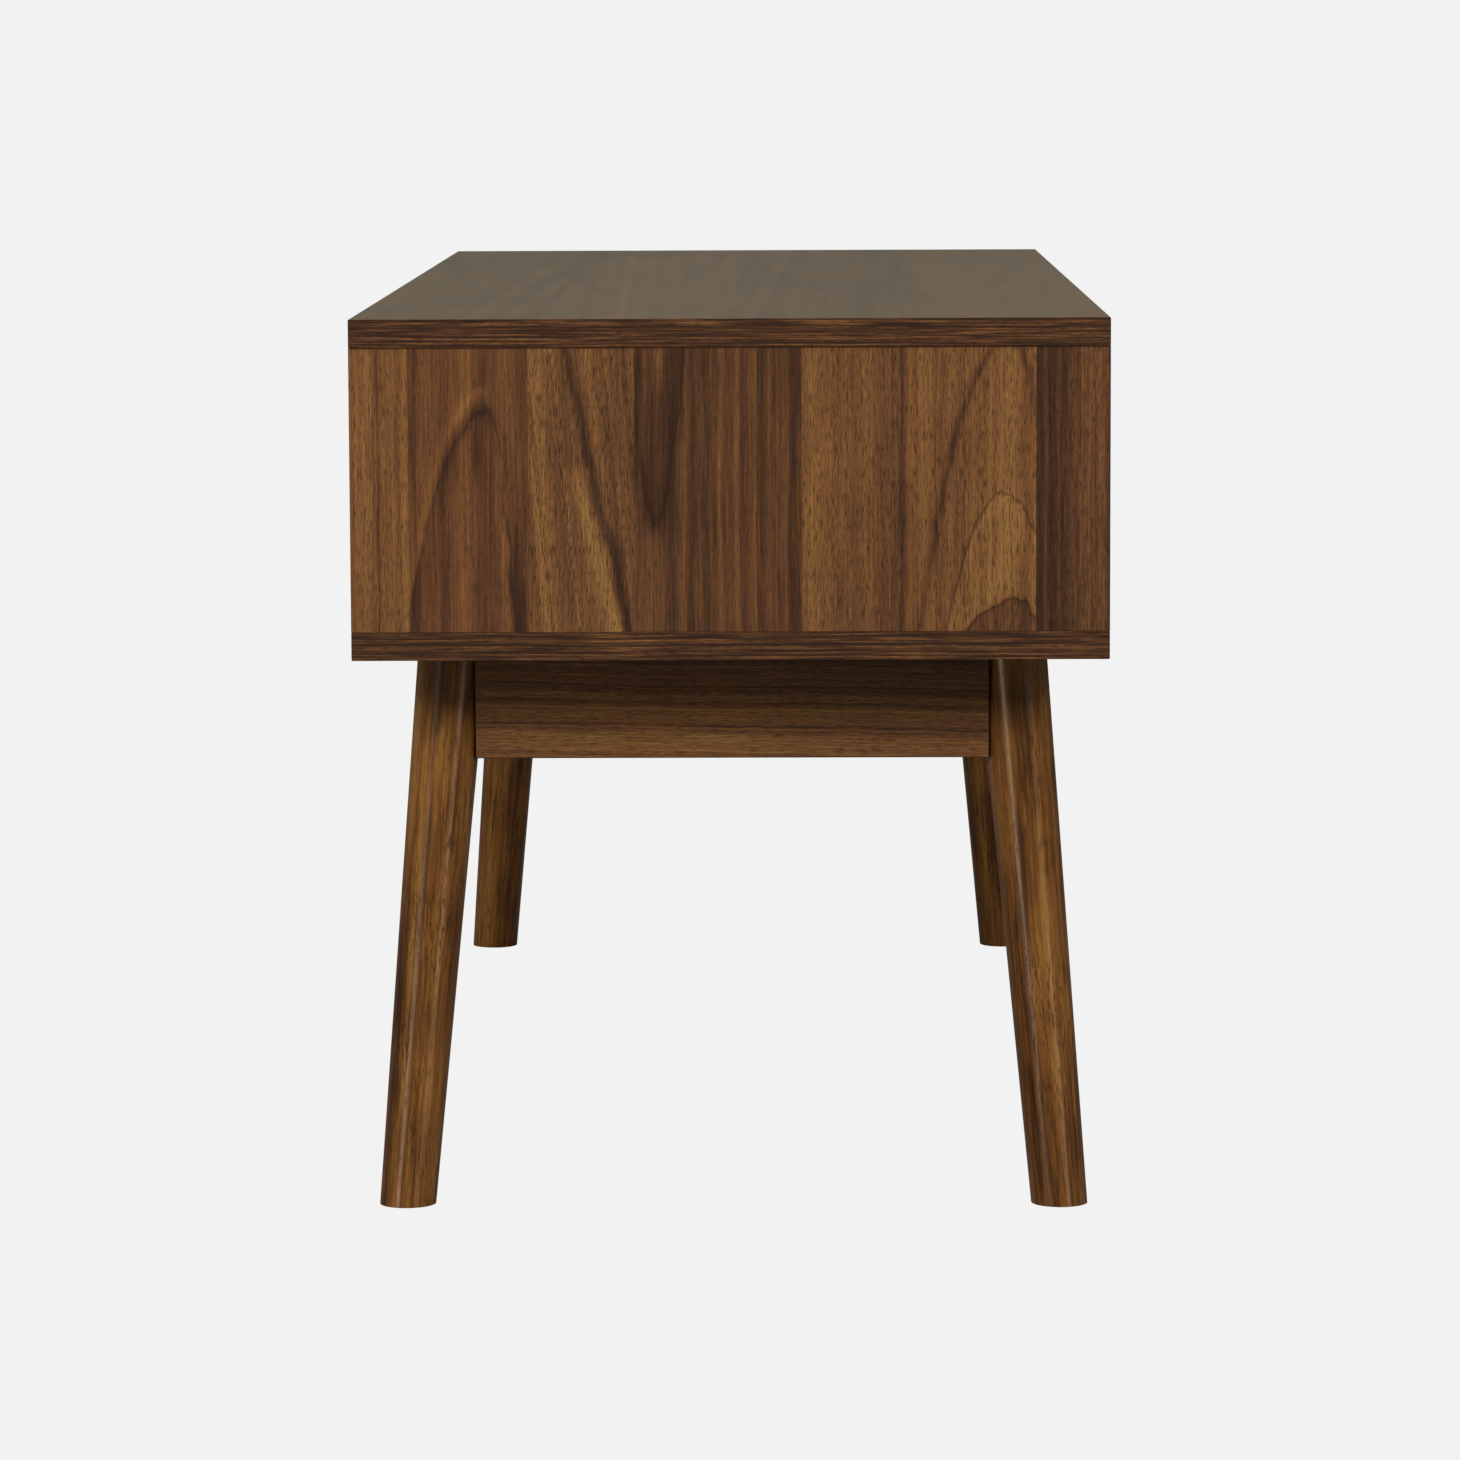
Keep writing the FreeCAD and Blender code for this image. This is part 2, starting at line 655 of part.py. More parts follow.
def build_frame():
    """Legs, corner blocks, aprons and their fixings; returns the holes in the bottom board."""
    loose = {"hanger_bolts": [], "washers": [], "hanger_nuts": [], "block_screws": [],
             "frame_screws": [], "foot_glides": []}
    holes = {"left": [], "right": [], "front": [], "back": []}
    board_holes = []
    for name, signs in CORNERS.items():
        end_holes, long_holes, lift_holes = build_corner(name, signs, loose)
        holes["right" if signs[0] > 0 else "left"] += end_holes
        holes["back" if signs[1] > 0 else "front"] += long_holes
        board_holes += lift_holes
    end_width = "2 * (half_width - end_apron_reach)"
    for name, sign in (("left", -1), ("right", 1)):
        point = ("(%d) * (corner_x + apron_thickness / 2) - apron_thickness / 2" % sign,
                 "-(%s) / 2" % end_width, "apron_floor")
        apron = slab(point, ("apron_thickness", end_width, "apron_height"), "apron_ease")
        node("apron_" + name, cut(apron, holes[name]))
    long_width = "2 * (half_length - long_apron_reach)"
    for name, sign in (("front", -1), ("back", 1)):
        point = ("-(%s) / 2" % long_width,
                 "(%d) * (corner_y + apron_thickness / 2) - apron_thickness / 2" % sign,
                 "apron_floor")
        apron = slab(point, (long_width, "apron_thickness", "apron_height"), "apron_ease")
        node("apron_" + name, cut(apron, holes[name]))
    for name, items in loose.items():
        node(name, group(items))
    return board_holes


# ---------------------------------------------------------------- drawer
def build_drawer():
    """Front with its finger notch, sides, back and bottom, with the drawer's own fixings."""
    width = "(bay_width - 2 * front_gap)"
    height = "(inside_height - 2 * front_gap)"
    notch_left = "(%s - notch_length) / 2" % width
    notch_right = "(%s + notch_length) / 2" % width
    notch_floor = "%s - notch_depth" % height
    outline = [("0", "0"), (width, "0"), (width, height), (notch_right, height),
               (notch_right, notch_floor), (notch_left, notch_floor),
               (notch_left, height), ("0", height)]
    front = profile("XZ_Plane", outline, "board")
    blank = front.Shape.BoundBox

    def is_notch_corner(edge):
        """True for the two edges through the thickness at the notch's floor."""
        span = edge.BoundBox
        return blank.ZMin < span.ZMin and span.ZMax < blank.ZMax and span.YLength > blank.YLength / 2

    def is_face_edge(edge):
        """True for the edges all round the outer face."""
        return edge.BoundBox.YMax < blank.YMin + TOUCH

    round_edges(front, "notch_radius", is_notch_corner)
    round_edges(front, "board_ease", is_face_edge)
    place(front, ("half_board + front_gap", "front_rear", "inside_floor + front_gap"))

    loose = {"drawer_cams": [], "drawer_cam_bolts": [], "drawer_back_screws": []}
    groove = box(("box_left + drawer_side - groove_depth", "front_rear - groove_depth",
                  "groove_floor"),
                 ("box_right - box_left - 2 * drawer_side + 2 * groove_depth",
                  "slide_length + groove_depth + board", "drawer_bottom + groove_clearance"))
    front_tools = [groove]
    for name, sign in (("left", 1), ("right", -1)):
        outer = "box_left" if sign > 0 else "box_right"
        low = outer if sign > 0 else "box_right - drawer_side"
        middle = "%s + (%d) * drawer_side / 2" % (outer, sign)
        open_side = "+x" if sign > 0 else "-x"
        side_tools = [groove]
        for level in ("box_floor + drawer_cam_rise",
                      "box_floor + side_height - drawer_cam_rise + cam_radius"):
            parts = cam_joint((middle, "front_rear", level), "-y", open_side, "drawer_side / 2")
            loose["drawer_cams"].append(parts["disc"])
            loose["drawer_cam_bolts"].append(parts["bolt"])
            side_tools += parts["panel_holes"]
            front_tools += parts["board_holes"]
            doc.removeObject(parts["cover"].Name)
        for level in ("box_floor + drawer_cam_rise", "box_floor + side_height - drawer_cam_rise"):
            direction = open_side
            seat = shift((outer, "box_rear - drawer_side / 2", level), direction,
                         "screw_head_height")
            length = "drawer_side - screw_head_height + screw_bite"
            loose["drawer_back_screws"].append(screw(seat, direction, length))
            side_tools.append(rod(seat, direction, "screw_radius + screw_clearance",
                                  "drawer_side"))
            side_tools.append(rod(seat, OPPOSITE[direction], "screw_counterbore", "drawer_side"))
        side = slab((low, "front_rear", "box_floor"),
                    ("drawer_side", "slide_length", "side_height"), "panel_ease")
        for inset in ("slide_screw_inset", "member_length - slide_screw_inset"):
            seat = (outer, "slide_front + %s" % inset, "slide_mid")
            side_tools.append(rod(seat, open_side, "screw_radius + thread_clearance",
                                  "slide_screw_length + hole_spare"))
        node("drawer_side_" + name, cut(side, side_tools))
    node("drawer_front", cut(front, front_tools))

    rail_floor = "groove_floor + drawer_bottom"
    back = slab(("box_left + drawer_side", "box_rear - drawer_side", rail_floor),
                ("box_right - box_left - 2 * drawer_side", "drawer_side",
                 "side_height - bottom_lift - drawer_bottom"), "panel_ease")
    back_tools = []
    for start, direction in (("box_left + drawer_side", "+x"), ("box_right - drawer_side", "-x")):
        for level in ("box_floor + drawer_cam_rise", "box_floor + side_height - drawer_cam_rise"):
            back_tools.append(rod((start, "box_rear - drawer_side / 2", level), direction,
                                  "screw_radius + thread_clearance", "screw_bite + hole_spare"))
    node("drawer_back", cut(back, back_tools))

    play = "bottom_side_play"
    bottom = slab(("box_left + drawer_side - groove_depth + %s" % play,
                   "front_rear - groove_depth + %s" % play, "groove_floor"),
                  ("box_right - box_left - 2 * drawer_side + 2 * (groove_depth - %s)" % play,
                   "slide_length + groove_depth - %s" % play, "drawer_bottom"), "panel_ease")
    node("drawer_bottom", bottom)
    for name, items in loose.items():
        node(name, group(items))


# ---------------------------------------------------------------- slides
def set_slide_part(item, side, start, length):
    """Place a slide member or cage that runs from start to start + length along Y."""
    end = "%s + %s" % (start, length) if side["sign"] > 0 else start
    place(item, (side["wall"], end, "slide_mid"), angle=side["angle"])
    return item


def build_slide(name, side, loose):
    """One three-member slide: channels, ball cages, balls and rubber stop."""
    sign = side["sign"]
    into_wall = "-x" if sign > 0 else "+x"
    into_drawer = OPPOSITE[into_wall]
    wall = side["wall"]
    insets = slide_screw_insets()

    outer = channel("outer_half", "0", "slide_lip", "slide_length")
    set_slide_part(outer, side, "slide_front", "slide_length")
    outer_tools = []
    middle_tools = []
    for inset in insets:
        face = shift((wall, "slide_front + %s" % inset, "slide_mid"), into_drawer, "slide_sheet")
        dish = taper(face, into_wall, "dish_radius", "screw_radius", "dish_depth")
        shank = rod(face, into_wall, "screw_radius", "slide_screw_length + slide_sheet")
        loose["slide_screws_case"].append(join([dish, shank]))
        outer_tools.append(taper(face, into_wall, "dish_radius", "screw_radius", "dish_depth"))
        outer_tools.append(rod(face, into_wall, "screw_radius + thread_clearance", "board"))
        middle_tools.append(rod((wall, "slide_front + %s" % inset, "slide_mid"), into_drawer,
                                "access_radius", "slide_depth / 2"))
    node("slide_outer_" + name, cut(outer, outer_tools))

    middle = channel("middle_half", "middle_web", "slide_lip", "member_length")
    set_slide_part(middle, side, "slide_front", "member_length")
    node("slide_middle_" + name, cut(middle, middle_tools))

    inner_tools = []
    for inset in (insets[0], insets[2]):
        seat = shift((wall, "slide_front + %s" % inset, "slide_mid"), into_drawer, "inner_web")
        loose["slide_screws_drawer"].append(screw(
            seat, into_drawer, "slide_sheet + slide_screw_length", head_height="inner_head_height"))
        inner_tools.append(rod(seat, into_drawer, "screw_radius + screw_clearance", "board"))
    outline = [
        ("inner_lip", "-inner_half"), ("slide_depth", "-inner_half"),
        ("slide_depth", "inner_half"), ("inner_lip", "inner_half"),
        ("inner_lip", "inner_half - slide_sheet"), ("inner_web", "inner_half - slide_sheet"),
        ("inner_web", "-inner_half + slide_sheet"), ("inner_lip", "-inner_half + slide_sheet"),
    ]
    inner = profile("XZ_Plane", outline, "member_length")
    set_slide_part(inner, side, "slide_front", "member_length")
    node("slide_inner_" + name, cut(inner, inner_tools))

    build_cage(name, "outer", side, "slide_sheet + member_gap / 2 - cage_sheet / 2",
               "outer_half - slide_sheet - race_gap / 2")
    build_cage(name, "inner", side, "middle_web + slide_sheet + member_gap / 2 - cage_sheet / 2",
               "middle_half - slide_sheet - race_gap / 2")

    stop_half = "outer_half - slide_sheet - stop_clearance"
    stop_depth = "slide_lip - slide_sheet"
    low_x = "slide_sheet" if sign > 0 else "-slide_lip"
    loose["slide_stops"].append(box(
        ("%s + %s" % (wall, low_x), "slide_front + slide_length - stop_length + stop_clearance",
         "slide_mid - (%s)" % stop_half),
        (stop_depth, "stop_length - stop_clearance", "2 * (%s)" % stop_half)))


def build_cage(name, layer, side, web, race):
    """Sheet cage of one ball layer, with its two rows of balls in their pockets."""
    half = "(%s + cage_sheet / 2)" % race
    outline = [
        (web, "-%s" % half), ("slide_lip - cage_sheet", "-%s" % half),
        ("slide_lip - cage_sheet", "-%s + cage_sheet" % half),
        ("%s + cage_sheet" % web, "-%s + cage_sheet" % half),
        ("%s + cage_sheet" % web, "%s - cage_sheet" % half),
        ("slide_lip - cage_sheet", "%s - cage_sheet" % half),
        ("slide_lip - cage_sheet", half), (web, half),
    ]
    cage = profile("XZ_Plane", outline, "cage_length")
    set_slide_part(cage, side, "cage_start", "cage_length")
    balls = []
    pockets = []
    for index in range(BALLS_IN_ROW):
        along = "cage_start + cage_length * %s" % ((index + 0.5) / BALLS_IN_ROW)
        for flip in (-1, 1):
            centre = ("%s + (%d) * ball_line" % (side["wall"], side["sign"]), along,
                      "slide_mid + (%d) * (%s)" % (flip, race))
            ball = doc.addObject("Part::Sphere", "Ball")
            bind(ball, Radius="ball_radius")
            place(ball, centre)
            balls.append(ball)
            pockets.append(rod(shift(centre, "-z", "ball_radius"), "+z",
                               "ball_radius + ball_pocket_clearance", "2 * ball_radius"))
    node("ball_cage_%s_%s" % (layer, name), cut(cage, pockets))
    node("balls_%s_%s" % (layer, name), group(balls))


def build_slides():
    """Both slides of the drawer."""
    loose = {"slide_screws_case": [], "slide_screws_drawer": [], "slide_stops": []}
    for name, side in SLIDE_SIDES.items():
        build_slide(name, side, loose)
    for name, items in loose.items():
        node(name, group(items))


frame_holes = build_frame()
case_holes = build_case()
case_holes["-z"] += frame_holes
build_long_boards(case_holes)
build_drawer()
build_slides()
doc.recompute()

problems = [item.Label for item in doc.Objects
            if {"Invalid", "Error"} & set(item.State)]
for item in nodes:
    if item.Shape.isNull() or not item.Shape.isValid() or not item.Shape.Solids:
        problems.append(item.Label)
if problems:
    raise RuntimeError("failed objects: " + ", ".join(problems))

os.makedirs("parts", exist_ok=True)
for item in nodes:
    item.Shape.exportStep("parts/%s.step" % item.Label)
print(len(nodes), "nodes written")
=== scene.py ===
"""Looks of a long, low walnut side table with one drawer, built around its CAD frame.

Everything is in metres, in the frame of the CAD part: +X along the table, +Z up, the open
front with the drawer and the cubby at -Y. Wood, metal and plastic are procedural finishes on
the table's own coordinates, so that the grain runs through each board as it would in timber.
"""

import enum
import json
import logging
import math
from dataclasses import dataclass, field
from typing import Callable, Dict, Iterable, List, Mapping, Optional, Sequence, Tuple, Union

import bpy
import numpy as np
from mathutils import Matrix, Vector

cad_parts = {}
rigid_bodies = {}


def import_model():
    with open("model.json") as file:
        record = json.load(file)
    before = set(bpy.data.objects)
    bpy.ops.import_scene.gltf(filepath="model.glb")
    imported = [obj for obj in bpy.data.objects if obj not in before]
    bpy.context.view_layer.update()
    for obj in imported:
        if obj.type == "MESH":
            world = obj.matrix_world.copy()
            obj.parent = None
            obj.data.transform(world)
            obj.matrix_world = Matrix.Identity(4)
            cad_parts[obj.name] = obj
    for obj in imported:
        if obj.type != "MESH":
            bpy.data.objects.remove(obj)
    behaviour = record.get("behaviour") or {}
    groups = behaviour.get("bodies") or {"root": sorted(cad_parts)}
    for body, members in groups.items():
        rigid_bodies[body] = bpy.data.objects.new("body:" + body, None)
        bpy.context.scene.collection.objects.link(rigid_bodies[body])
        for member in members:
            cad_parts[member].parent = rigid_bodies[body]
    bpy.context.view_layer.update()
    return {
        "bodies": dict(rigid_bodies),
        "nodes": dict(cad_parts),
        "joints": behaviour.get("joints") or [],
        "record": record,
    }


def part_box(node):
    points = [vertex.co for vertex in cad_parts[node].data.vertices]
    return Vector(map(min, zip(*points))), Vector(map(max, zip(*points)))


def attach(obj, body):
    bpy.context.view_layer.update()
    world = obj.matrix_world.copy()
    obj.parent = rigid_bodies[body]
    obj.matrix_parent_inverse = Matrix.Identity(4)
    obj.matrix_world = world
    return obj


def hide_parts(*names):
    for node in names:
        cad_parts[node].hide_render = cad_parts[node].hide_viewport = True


LOG = logging.getLogger("side_table")
MM = 0.001
BELOW, ABOVE = -9.0, 9.0        # metres; a mark with these limits runs the panel's whole height

SHANK = 2.0 * MM                # radius of every screw under its head

Colour = Tuple[float, float, float]
Number = Union[int, float]

# Signs of X and Y at the four corners.
CORNERS: Dict[str, Tuple[int, int]] = {
    "front_left": (-1, -1), "front_right": (1, -1), "back_left": (-1, 1), "back_right": (1, 1)}


class Axis(enum.Enum):
    """Axis of the table's frame that a board's grain, width or thickness lies along."""

    X = 0
    Y = 1
    Z = 2


def tint(red: Number, green: Number, blue: Number) -> Colour:
    """Turn an 8-bit display colour into linear light.

    Args:
        red: Red, 0 to 255.
        green: Green, 0 to 255.
        blue: Blue, 0 to 255.

    Returns:
        The linear colour: c / 12.92 near black, and ((c + 0.055) / 1.055) ** 2.4 above it.
    """
    def linear(byte: Number) -> float:
        share = byte / 255.0
        if share <= 0.04045:
            return share / 12.92
        return ((share + 0.055) / 1.055) ** 2.4
    return linear(red), linear(green), linear(blue)


# ------------------------------------------------------------------ shader arithmetic
class Wire:
    """One value of a material's node tree, which adds Math nodes as it is reckoned with."""

    def __init__(self, shade: "Shade", socket: bpy.types.NodeSocket) -> None:
        """Hold an output socket of a shade's tree."""
        self.shade = shade
        self.socket = socket

    def _reckon(self, operation: str, *values: "Term") -> "Wire":
        """Add one Math node on these values."""
        return self.shade.add("ShaderNodeMath", {"operation": operation}, dict(enumerate(values)))

    def __add__(self, other: "Term") -> "Wire":
        """Sum."""
        return self._reckon("ADD", self, other)

    def __radd__(self, other: "Term") -> "Wire":
        """Sum, with the number first."""
        return self._reckon("ADD", other, self)

    def __sub__(self, other: "Term") -> "Wire":
        """Difference."""
        return self._reckon("SUBTRACT", self, other)

    def __rsub__(self, other: "Term") -> "Wire":
        """Difference, with the number first."""
        return self._reckon("SUBTRACT", other, self)

    def __mul__(self, other: "Term") -> "Wire":
        """Product."""
        return self._reckon("MULTIPLY", self, other)

    def __rmul__(self, other: "Term") -> "Wire":
        """Product, with the number first."""
        return self._reckon("MULTIPLY", other, self)

    def __truediv__(self, other: "Term") -> "Wire":
        """Quotient."""
        return self._reckon("DIVIDE", self, other)

    def __gt__(self, other: "Term") -> "Wire":
        """1 where this value is the greater, else 0."""
        return self._reckon("GREATER_THAN", self, other)

    def __lt__(self, other: "Term") -> "Wire":
        """1 where this value is the smaller, else 0."""
        return self._reckon("LESS_THAN", self, other)

    def power_of_e(self) -> "Wire":
        """e raised to this value."""
        return self._reckon("EXPONENT", self)

    def magnitude(self) -> "Wire":
        """Absolute value."""
        return self._reckon("ABSOLUTE", self)

    def root(self) -> "Wire":
        """Square root."""
        return self._reckon("SQRT", self)

    def sine(self) -> "Wire":
        """Sine of an angle in radians."""
        return self._reckon("SINE", self)

    def floor(self) -> "Wire":
        """Whole number below."""
        return self._reckon("FLOOR", self)

    def least(self, other: "Term") -> "Wire":
        """The smaller of two values."""
        return self._reckon("MINIMUM", self, other)

    def most(self, other: "Term") -> "Wire":
        """The larger of two values."""
        return self._reckon("MAXIMUM", self, other)

    def ease(self, low: Number, high: Number, to_low: Number = 0.0,
             to_high: Number = 1.0) -> "Wire":
        """Smooth step from to_low at low to to_high at high."""
        return self.shade.add(
            "ShaderNodeMapRange", {"interpolation_type": "SMOOTHSTEP"},
            {"Value": self, "From Min": low, "From Max": high, "To Min": to_low, "To Max": to_high})


Term = Union[Wire, int, float]


class Shade:
    """A material under construction, or the world's light: its node tree and its shader."""

    def __init__(self, name: str, world: bool = False) -> None:
        """Start an empty material or world of this name."""
        self.owner = (bpy.data.worlds if world else bpy.data.materials).new(name)
        self.owner.use_nodes = True
        self.tree = self.owner.node_tree
        self.tree.nodes.clear()
        self.end = "ShaderNodeOutputWorld" if world else "ShaderNodeOutputMaterial"

    def add(self, kind: str, settings: Optional[Mapping[str, object]] = None,
            sockets: Optional[Mapping[Union[str, int], object]] = None,
            output: Union[str, int] = 0) -> Wire:
        """Add one node.

        Args:
            kind: The node's type.
            settings: Properties of the node, set first; "stops" are a ramp's positions and colours.
            sockets: Values or wires for its inputs, by name or by place.
            output: The output that the returned wire stands for.

        Returns:
            The wire of that output.
        """
        node = self.tree.nodes.new(kind)
        for key, value in (settings or {}).items():
            if key == "stops":
                self._set_stops(node, value)
            else:
                setattr(node, key, value)
        for key, value in (sockets or {}).items():
            self.plug(node.inputs[key], value)
        return Wire(self, node.outputs[output])

    def plug(self, socket: bpy.types.NodeSocket, value: object) -> None:
        """Link a wire to a socket, or set the socket's own value."""
        if isinstance(value, Wire):
            self.tree.links.new(value.socket, socket)
        elif isinstance(value, tuple) and socket.type == "RGBA":
            socket.default_value = (*value[:3], 1.0)
        else:
            socket.default_value = value

    @staticmethod
    def _set_stops(node: bpy.types.Node, stops: Sequence[Tuple[float, Colour]]) -> None:
        """Give a colour ramp its stops, in order."""
        ramp = node.color_ramp
        while len(ramp.elements) < len(stops):
            ramp.elements.new(1.0)
        for element, (position, colour) in zip(ramp.elements, stops):
            element.position = position
            element.color = (*colour, 1.0)

    def place(self) -> Tuple[Wire, Wire, Wire]:
        """Coordinates of a point in the table's frame, in metres."""
        spot = self.add("ShaderNodeTexCoord", output="Object")
        return tuple(self.add("ShaderNodeSeparateXYZ", {}, {0: spot}, axis) for axis in "XYZ")

    def facing(self) -> Tuple[Wire, Wire, Wire]:
        """Size of each part of the surface's own direction, 0 to 1."""
        normal = self.add("ShaderNodeTexCoord", output="Normal")
        return tuple(self.add("ShaderNodeSeparateXYZ", {}, {0: normal}, axis).magnitude()
                     for axis in "XYZ")

    def join(self, x: Term, y: Term, z: Term) -> Wire:
        """Vector from three values."""
        return self.add("ShaderNodeCombineXYZ", {}, {0: x, 1: y, 2: z})

    def choose(self, share: Term, low: object, high: object) -> Wire:
        """Number that goes from low to high as share goes from 0 to 1."""
        return self.add("ShaderNodeMix", {"data_type": "FLOAT"}, {0: share, 2: low, 3: high}, 0)

    def blend(self, share: Term, low: object, high: object, mode: str = "MIX") -> Wire:
        """Colour that goes from low to high as share goes from 0 to 1."""
        return self.add("ShaderNodeMix", {"data_type": "RGBA", "blend_type": mode},
                        {0: share, 6: low, 7: high}, 2)

    def noise(self, x: Term, y: Term = 0.0, z: Term = 0.0, detail: float = 2.0,
              roughness: float = 0.5) -> Wire:
        """Smooth noise, about 0 to 1, whose features are about one unit across."""
        return self.add("ShaderNodeTexNoise", {"noise_dimensions": "3D"},
                        {"Vector": self.join(x, y, z), "Scale": 1.0, "Detail": detail,
                         "Roughness": roughness})

    def stripe(self, w: Term, detail: float = 3.0, roughness: float = 0.55) -> Wire:
        """Noise along one line, about 0 to 1."""
        return self.add("ShaderNodeTexNoise", {"noise_dimensions": "1D"},
                        {"W": w, "Scale": 1.0, "Detail": detail, "Roughness": roughness})

    def ramp(self, share: Term, stops: Sequence[Tuple[float, Colour]]) -> Wire:
        """Colour picked from stops."""
        return self.add("ShaderNodeValToRGB", {"stops": stops}, {0: share})

    def bump(self, height: Wire, depth: float, strength: float) -> Wire:
        """Surface direction under a height of 0 to 1 times a depth in metres."""
        return self.add("ShaderNodeBump", {},
                        {"Height": height, "Distance": depth, "Strength": strength})

    def close(self, shader: Wire) -> bpy.types.ID:
        """Give the tree its last shader, and return the material or the world."""
        self.plug(self.tree.nodes.new(self.end).inputs["Surface"], shader)
        return self.owner

    def surface(self, sockets: Mapping[str, object]) -> bpy.types.Material:
        """Finish the material with one Principled shader and return it."""
        return self.close(self.add("ShaderNodeBsdfPrincipled", {}, sockets))


# ------------------------------------------------------------------ walnut
@dataclass(frozen=True)
class Streak:
    """Band along the grain, darker or paler than the wood round it.

    Its middle line is at + lean * height, and it fades out below low and above high.
    """

    at: float
    width: float
    tone: float
    lean: float = 0.0
    low: float = BELOW
    high: float = ABOVE
    fade: float = 12.0 * MM

    def tone_at(self, side: Wire, height: Wire) -> Wire:
        """Tone that the streak adds: tone * exp(-(distance / width) squared), faded at its ends.

        Args:
            side: Distance across the panel.
            height: Distance along the grain.

        Returns:
            The tone, to be added to the wood's own.
        """
        gap = (side - (height * self.lean + self.at)) / self.width
        bell = (gap * gap * -1.0).power_of_e()
        if self.low > BELOW:
            bell = bell * height.ease(self.low - self.fade, self.low + self.fade)
        if self.high < ABOVE:
            bell = bell * height.ease(self.high - self.fade, self.high + self.fade, 1.0, 0.0)
        return bell * self.tone


@dataclass(frozen=True)
class Arch:
    """Growth ring cut through at a slant: an arch that peaks over the heart of the leaf.

    The ring lies where height = top - curl * gap squared, with its own curl on each side of the
    peak. Distance from the ring is that equation's error over the length of its gradient.
    """

    at: float
    top: float
    curl_left: float        # per metre
    curl_right: float
    width: float
    tone: float
    fill: float = 20.0 * MM      # how far inside the ring its inner tone reaches
    inner: float = 0.0
    hangs: bool = False          # points downwards
    left_low: float = BELOW      # the left limb fades out below this height
    left_fade: float = 30.0 * MM

    def tone_at(self, side: Wire, height: Wire) -> Wire:
        """Tone that the ring and the wood just inside it add.

        Args:
            side: Distance across the panel.
            height: Distance along the grain.

        Returns:
            The tone, to be added to the wood's own.
        """
        gap = side - self.at
        curl = (gap > 0.0) * (self.curl_right - self.curl_left) + self.curl_left
        rise = (self.top - height) if self.hangs else (height - self.top)
        error = rise + curl * gap * gap
        slope = curl * gap * 2.0
        away = error / (slope * slope + 1.0).root()
        ring = away / self.width
        tone = (ring * ring * -1.0).power_of_e() * self.tone
        if self.left_low > BELOW:
            kept = height.ease(self.left_low - self.left_fade, self.left_low + self.left_fade)
            tone = tone * kept.most(gap > 0.0)
        if self.inner:
            inside = (away < 0.0) * (away / self.fill).power_of_e()
            tone = tone + inside * self.inner
        return tone


@dataclass(frozen=True)
class Leaf:
    """One strip of veneer, from the end of the strip before it to its own end."""

    end: float              # metres from the panel's first side
    tone: float             # lighter above 0, darker below
    shift: float            # place in the timber, so that each leaf has its own growth lines
    lines: float = 0.8      # contrast of its growth lines
    pores: float = 1.0      # how many pores it shows
    pace: float = 110.0     # growth lines to a metre
    lean: float = 0.0       # sideways run of the lines to a metre of height
    marks: Tuple[Union[Streak, Arch], ...] = ()
    ruddy: float = 0.2      # share of red in its brown


@dataclass(frozen=True)
class WalnutPalette:
    """Colours of lacquered walnut, from the darkest growth line to the palest field."""

    darkest: Colour = tint(50, 34, 25)
    dark: Colour = tint(72, 48, 32)
    middle: Colour = tint(96, 64, 40)
    warm: Colour = tint(114, 77, 45)
    pale: Colour = tint(136, 99, 56)
    pore: Colour = tint(38, 23, 14)
    ruddy: Colour = (1.0, 0.86, 0.82)       # multiplies the redder leaves' colour

    def stops(self) -> List[Tuple[float, Colour]]:
        """Ramp from the darkest line to the palest field."""
        return [(0.0, self.darkest), (0.28, self.dark), (0.5, self.middle),
                (0.72, self.warm), (1.0, self.pale)]


@dataclass(frozen=True)
class SeamShadow:
    """Painted shadow where a board meets its neighbour: a fine dark line across a panel's face."""

    height: float
    width: float
    # strength of the painted shadow, 0 to 1; the joint under the top board is the darkest
    depth: float


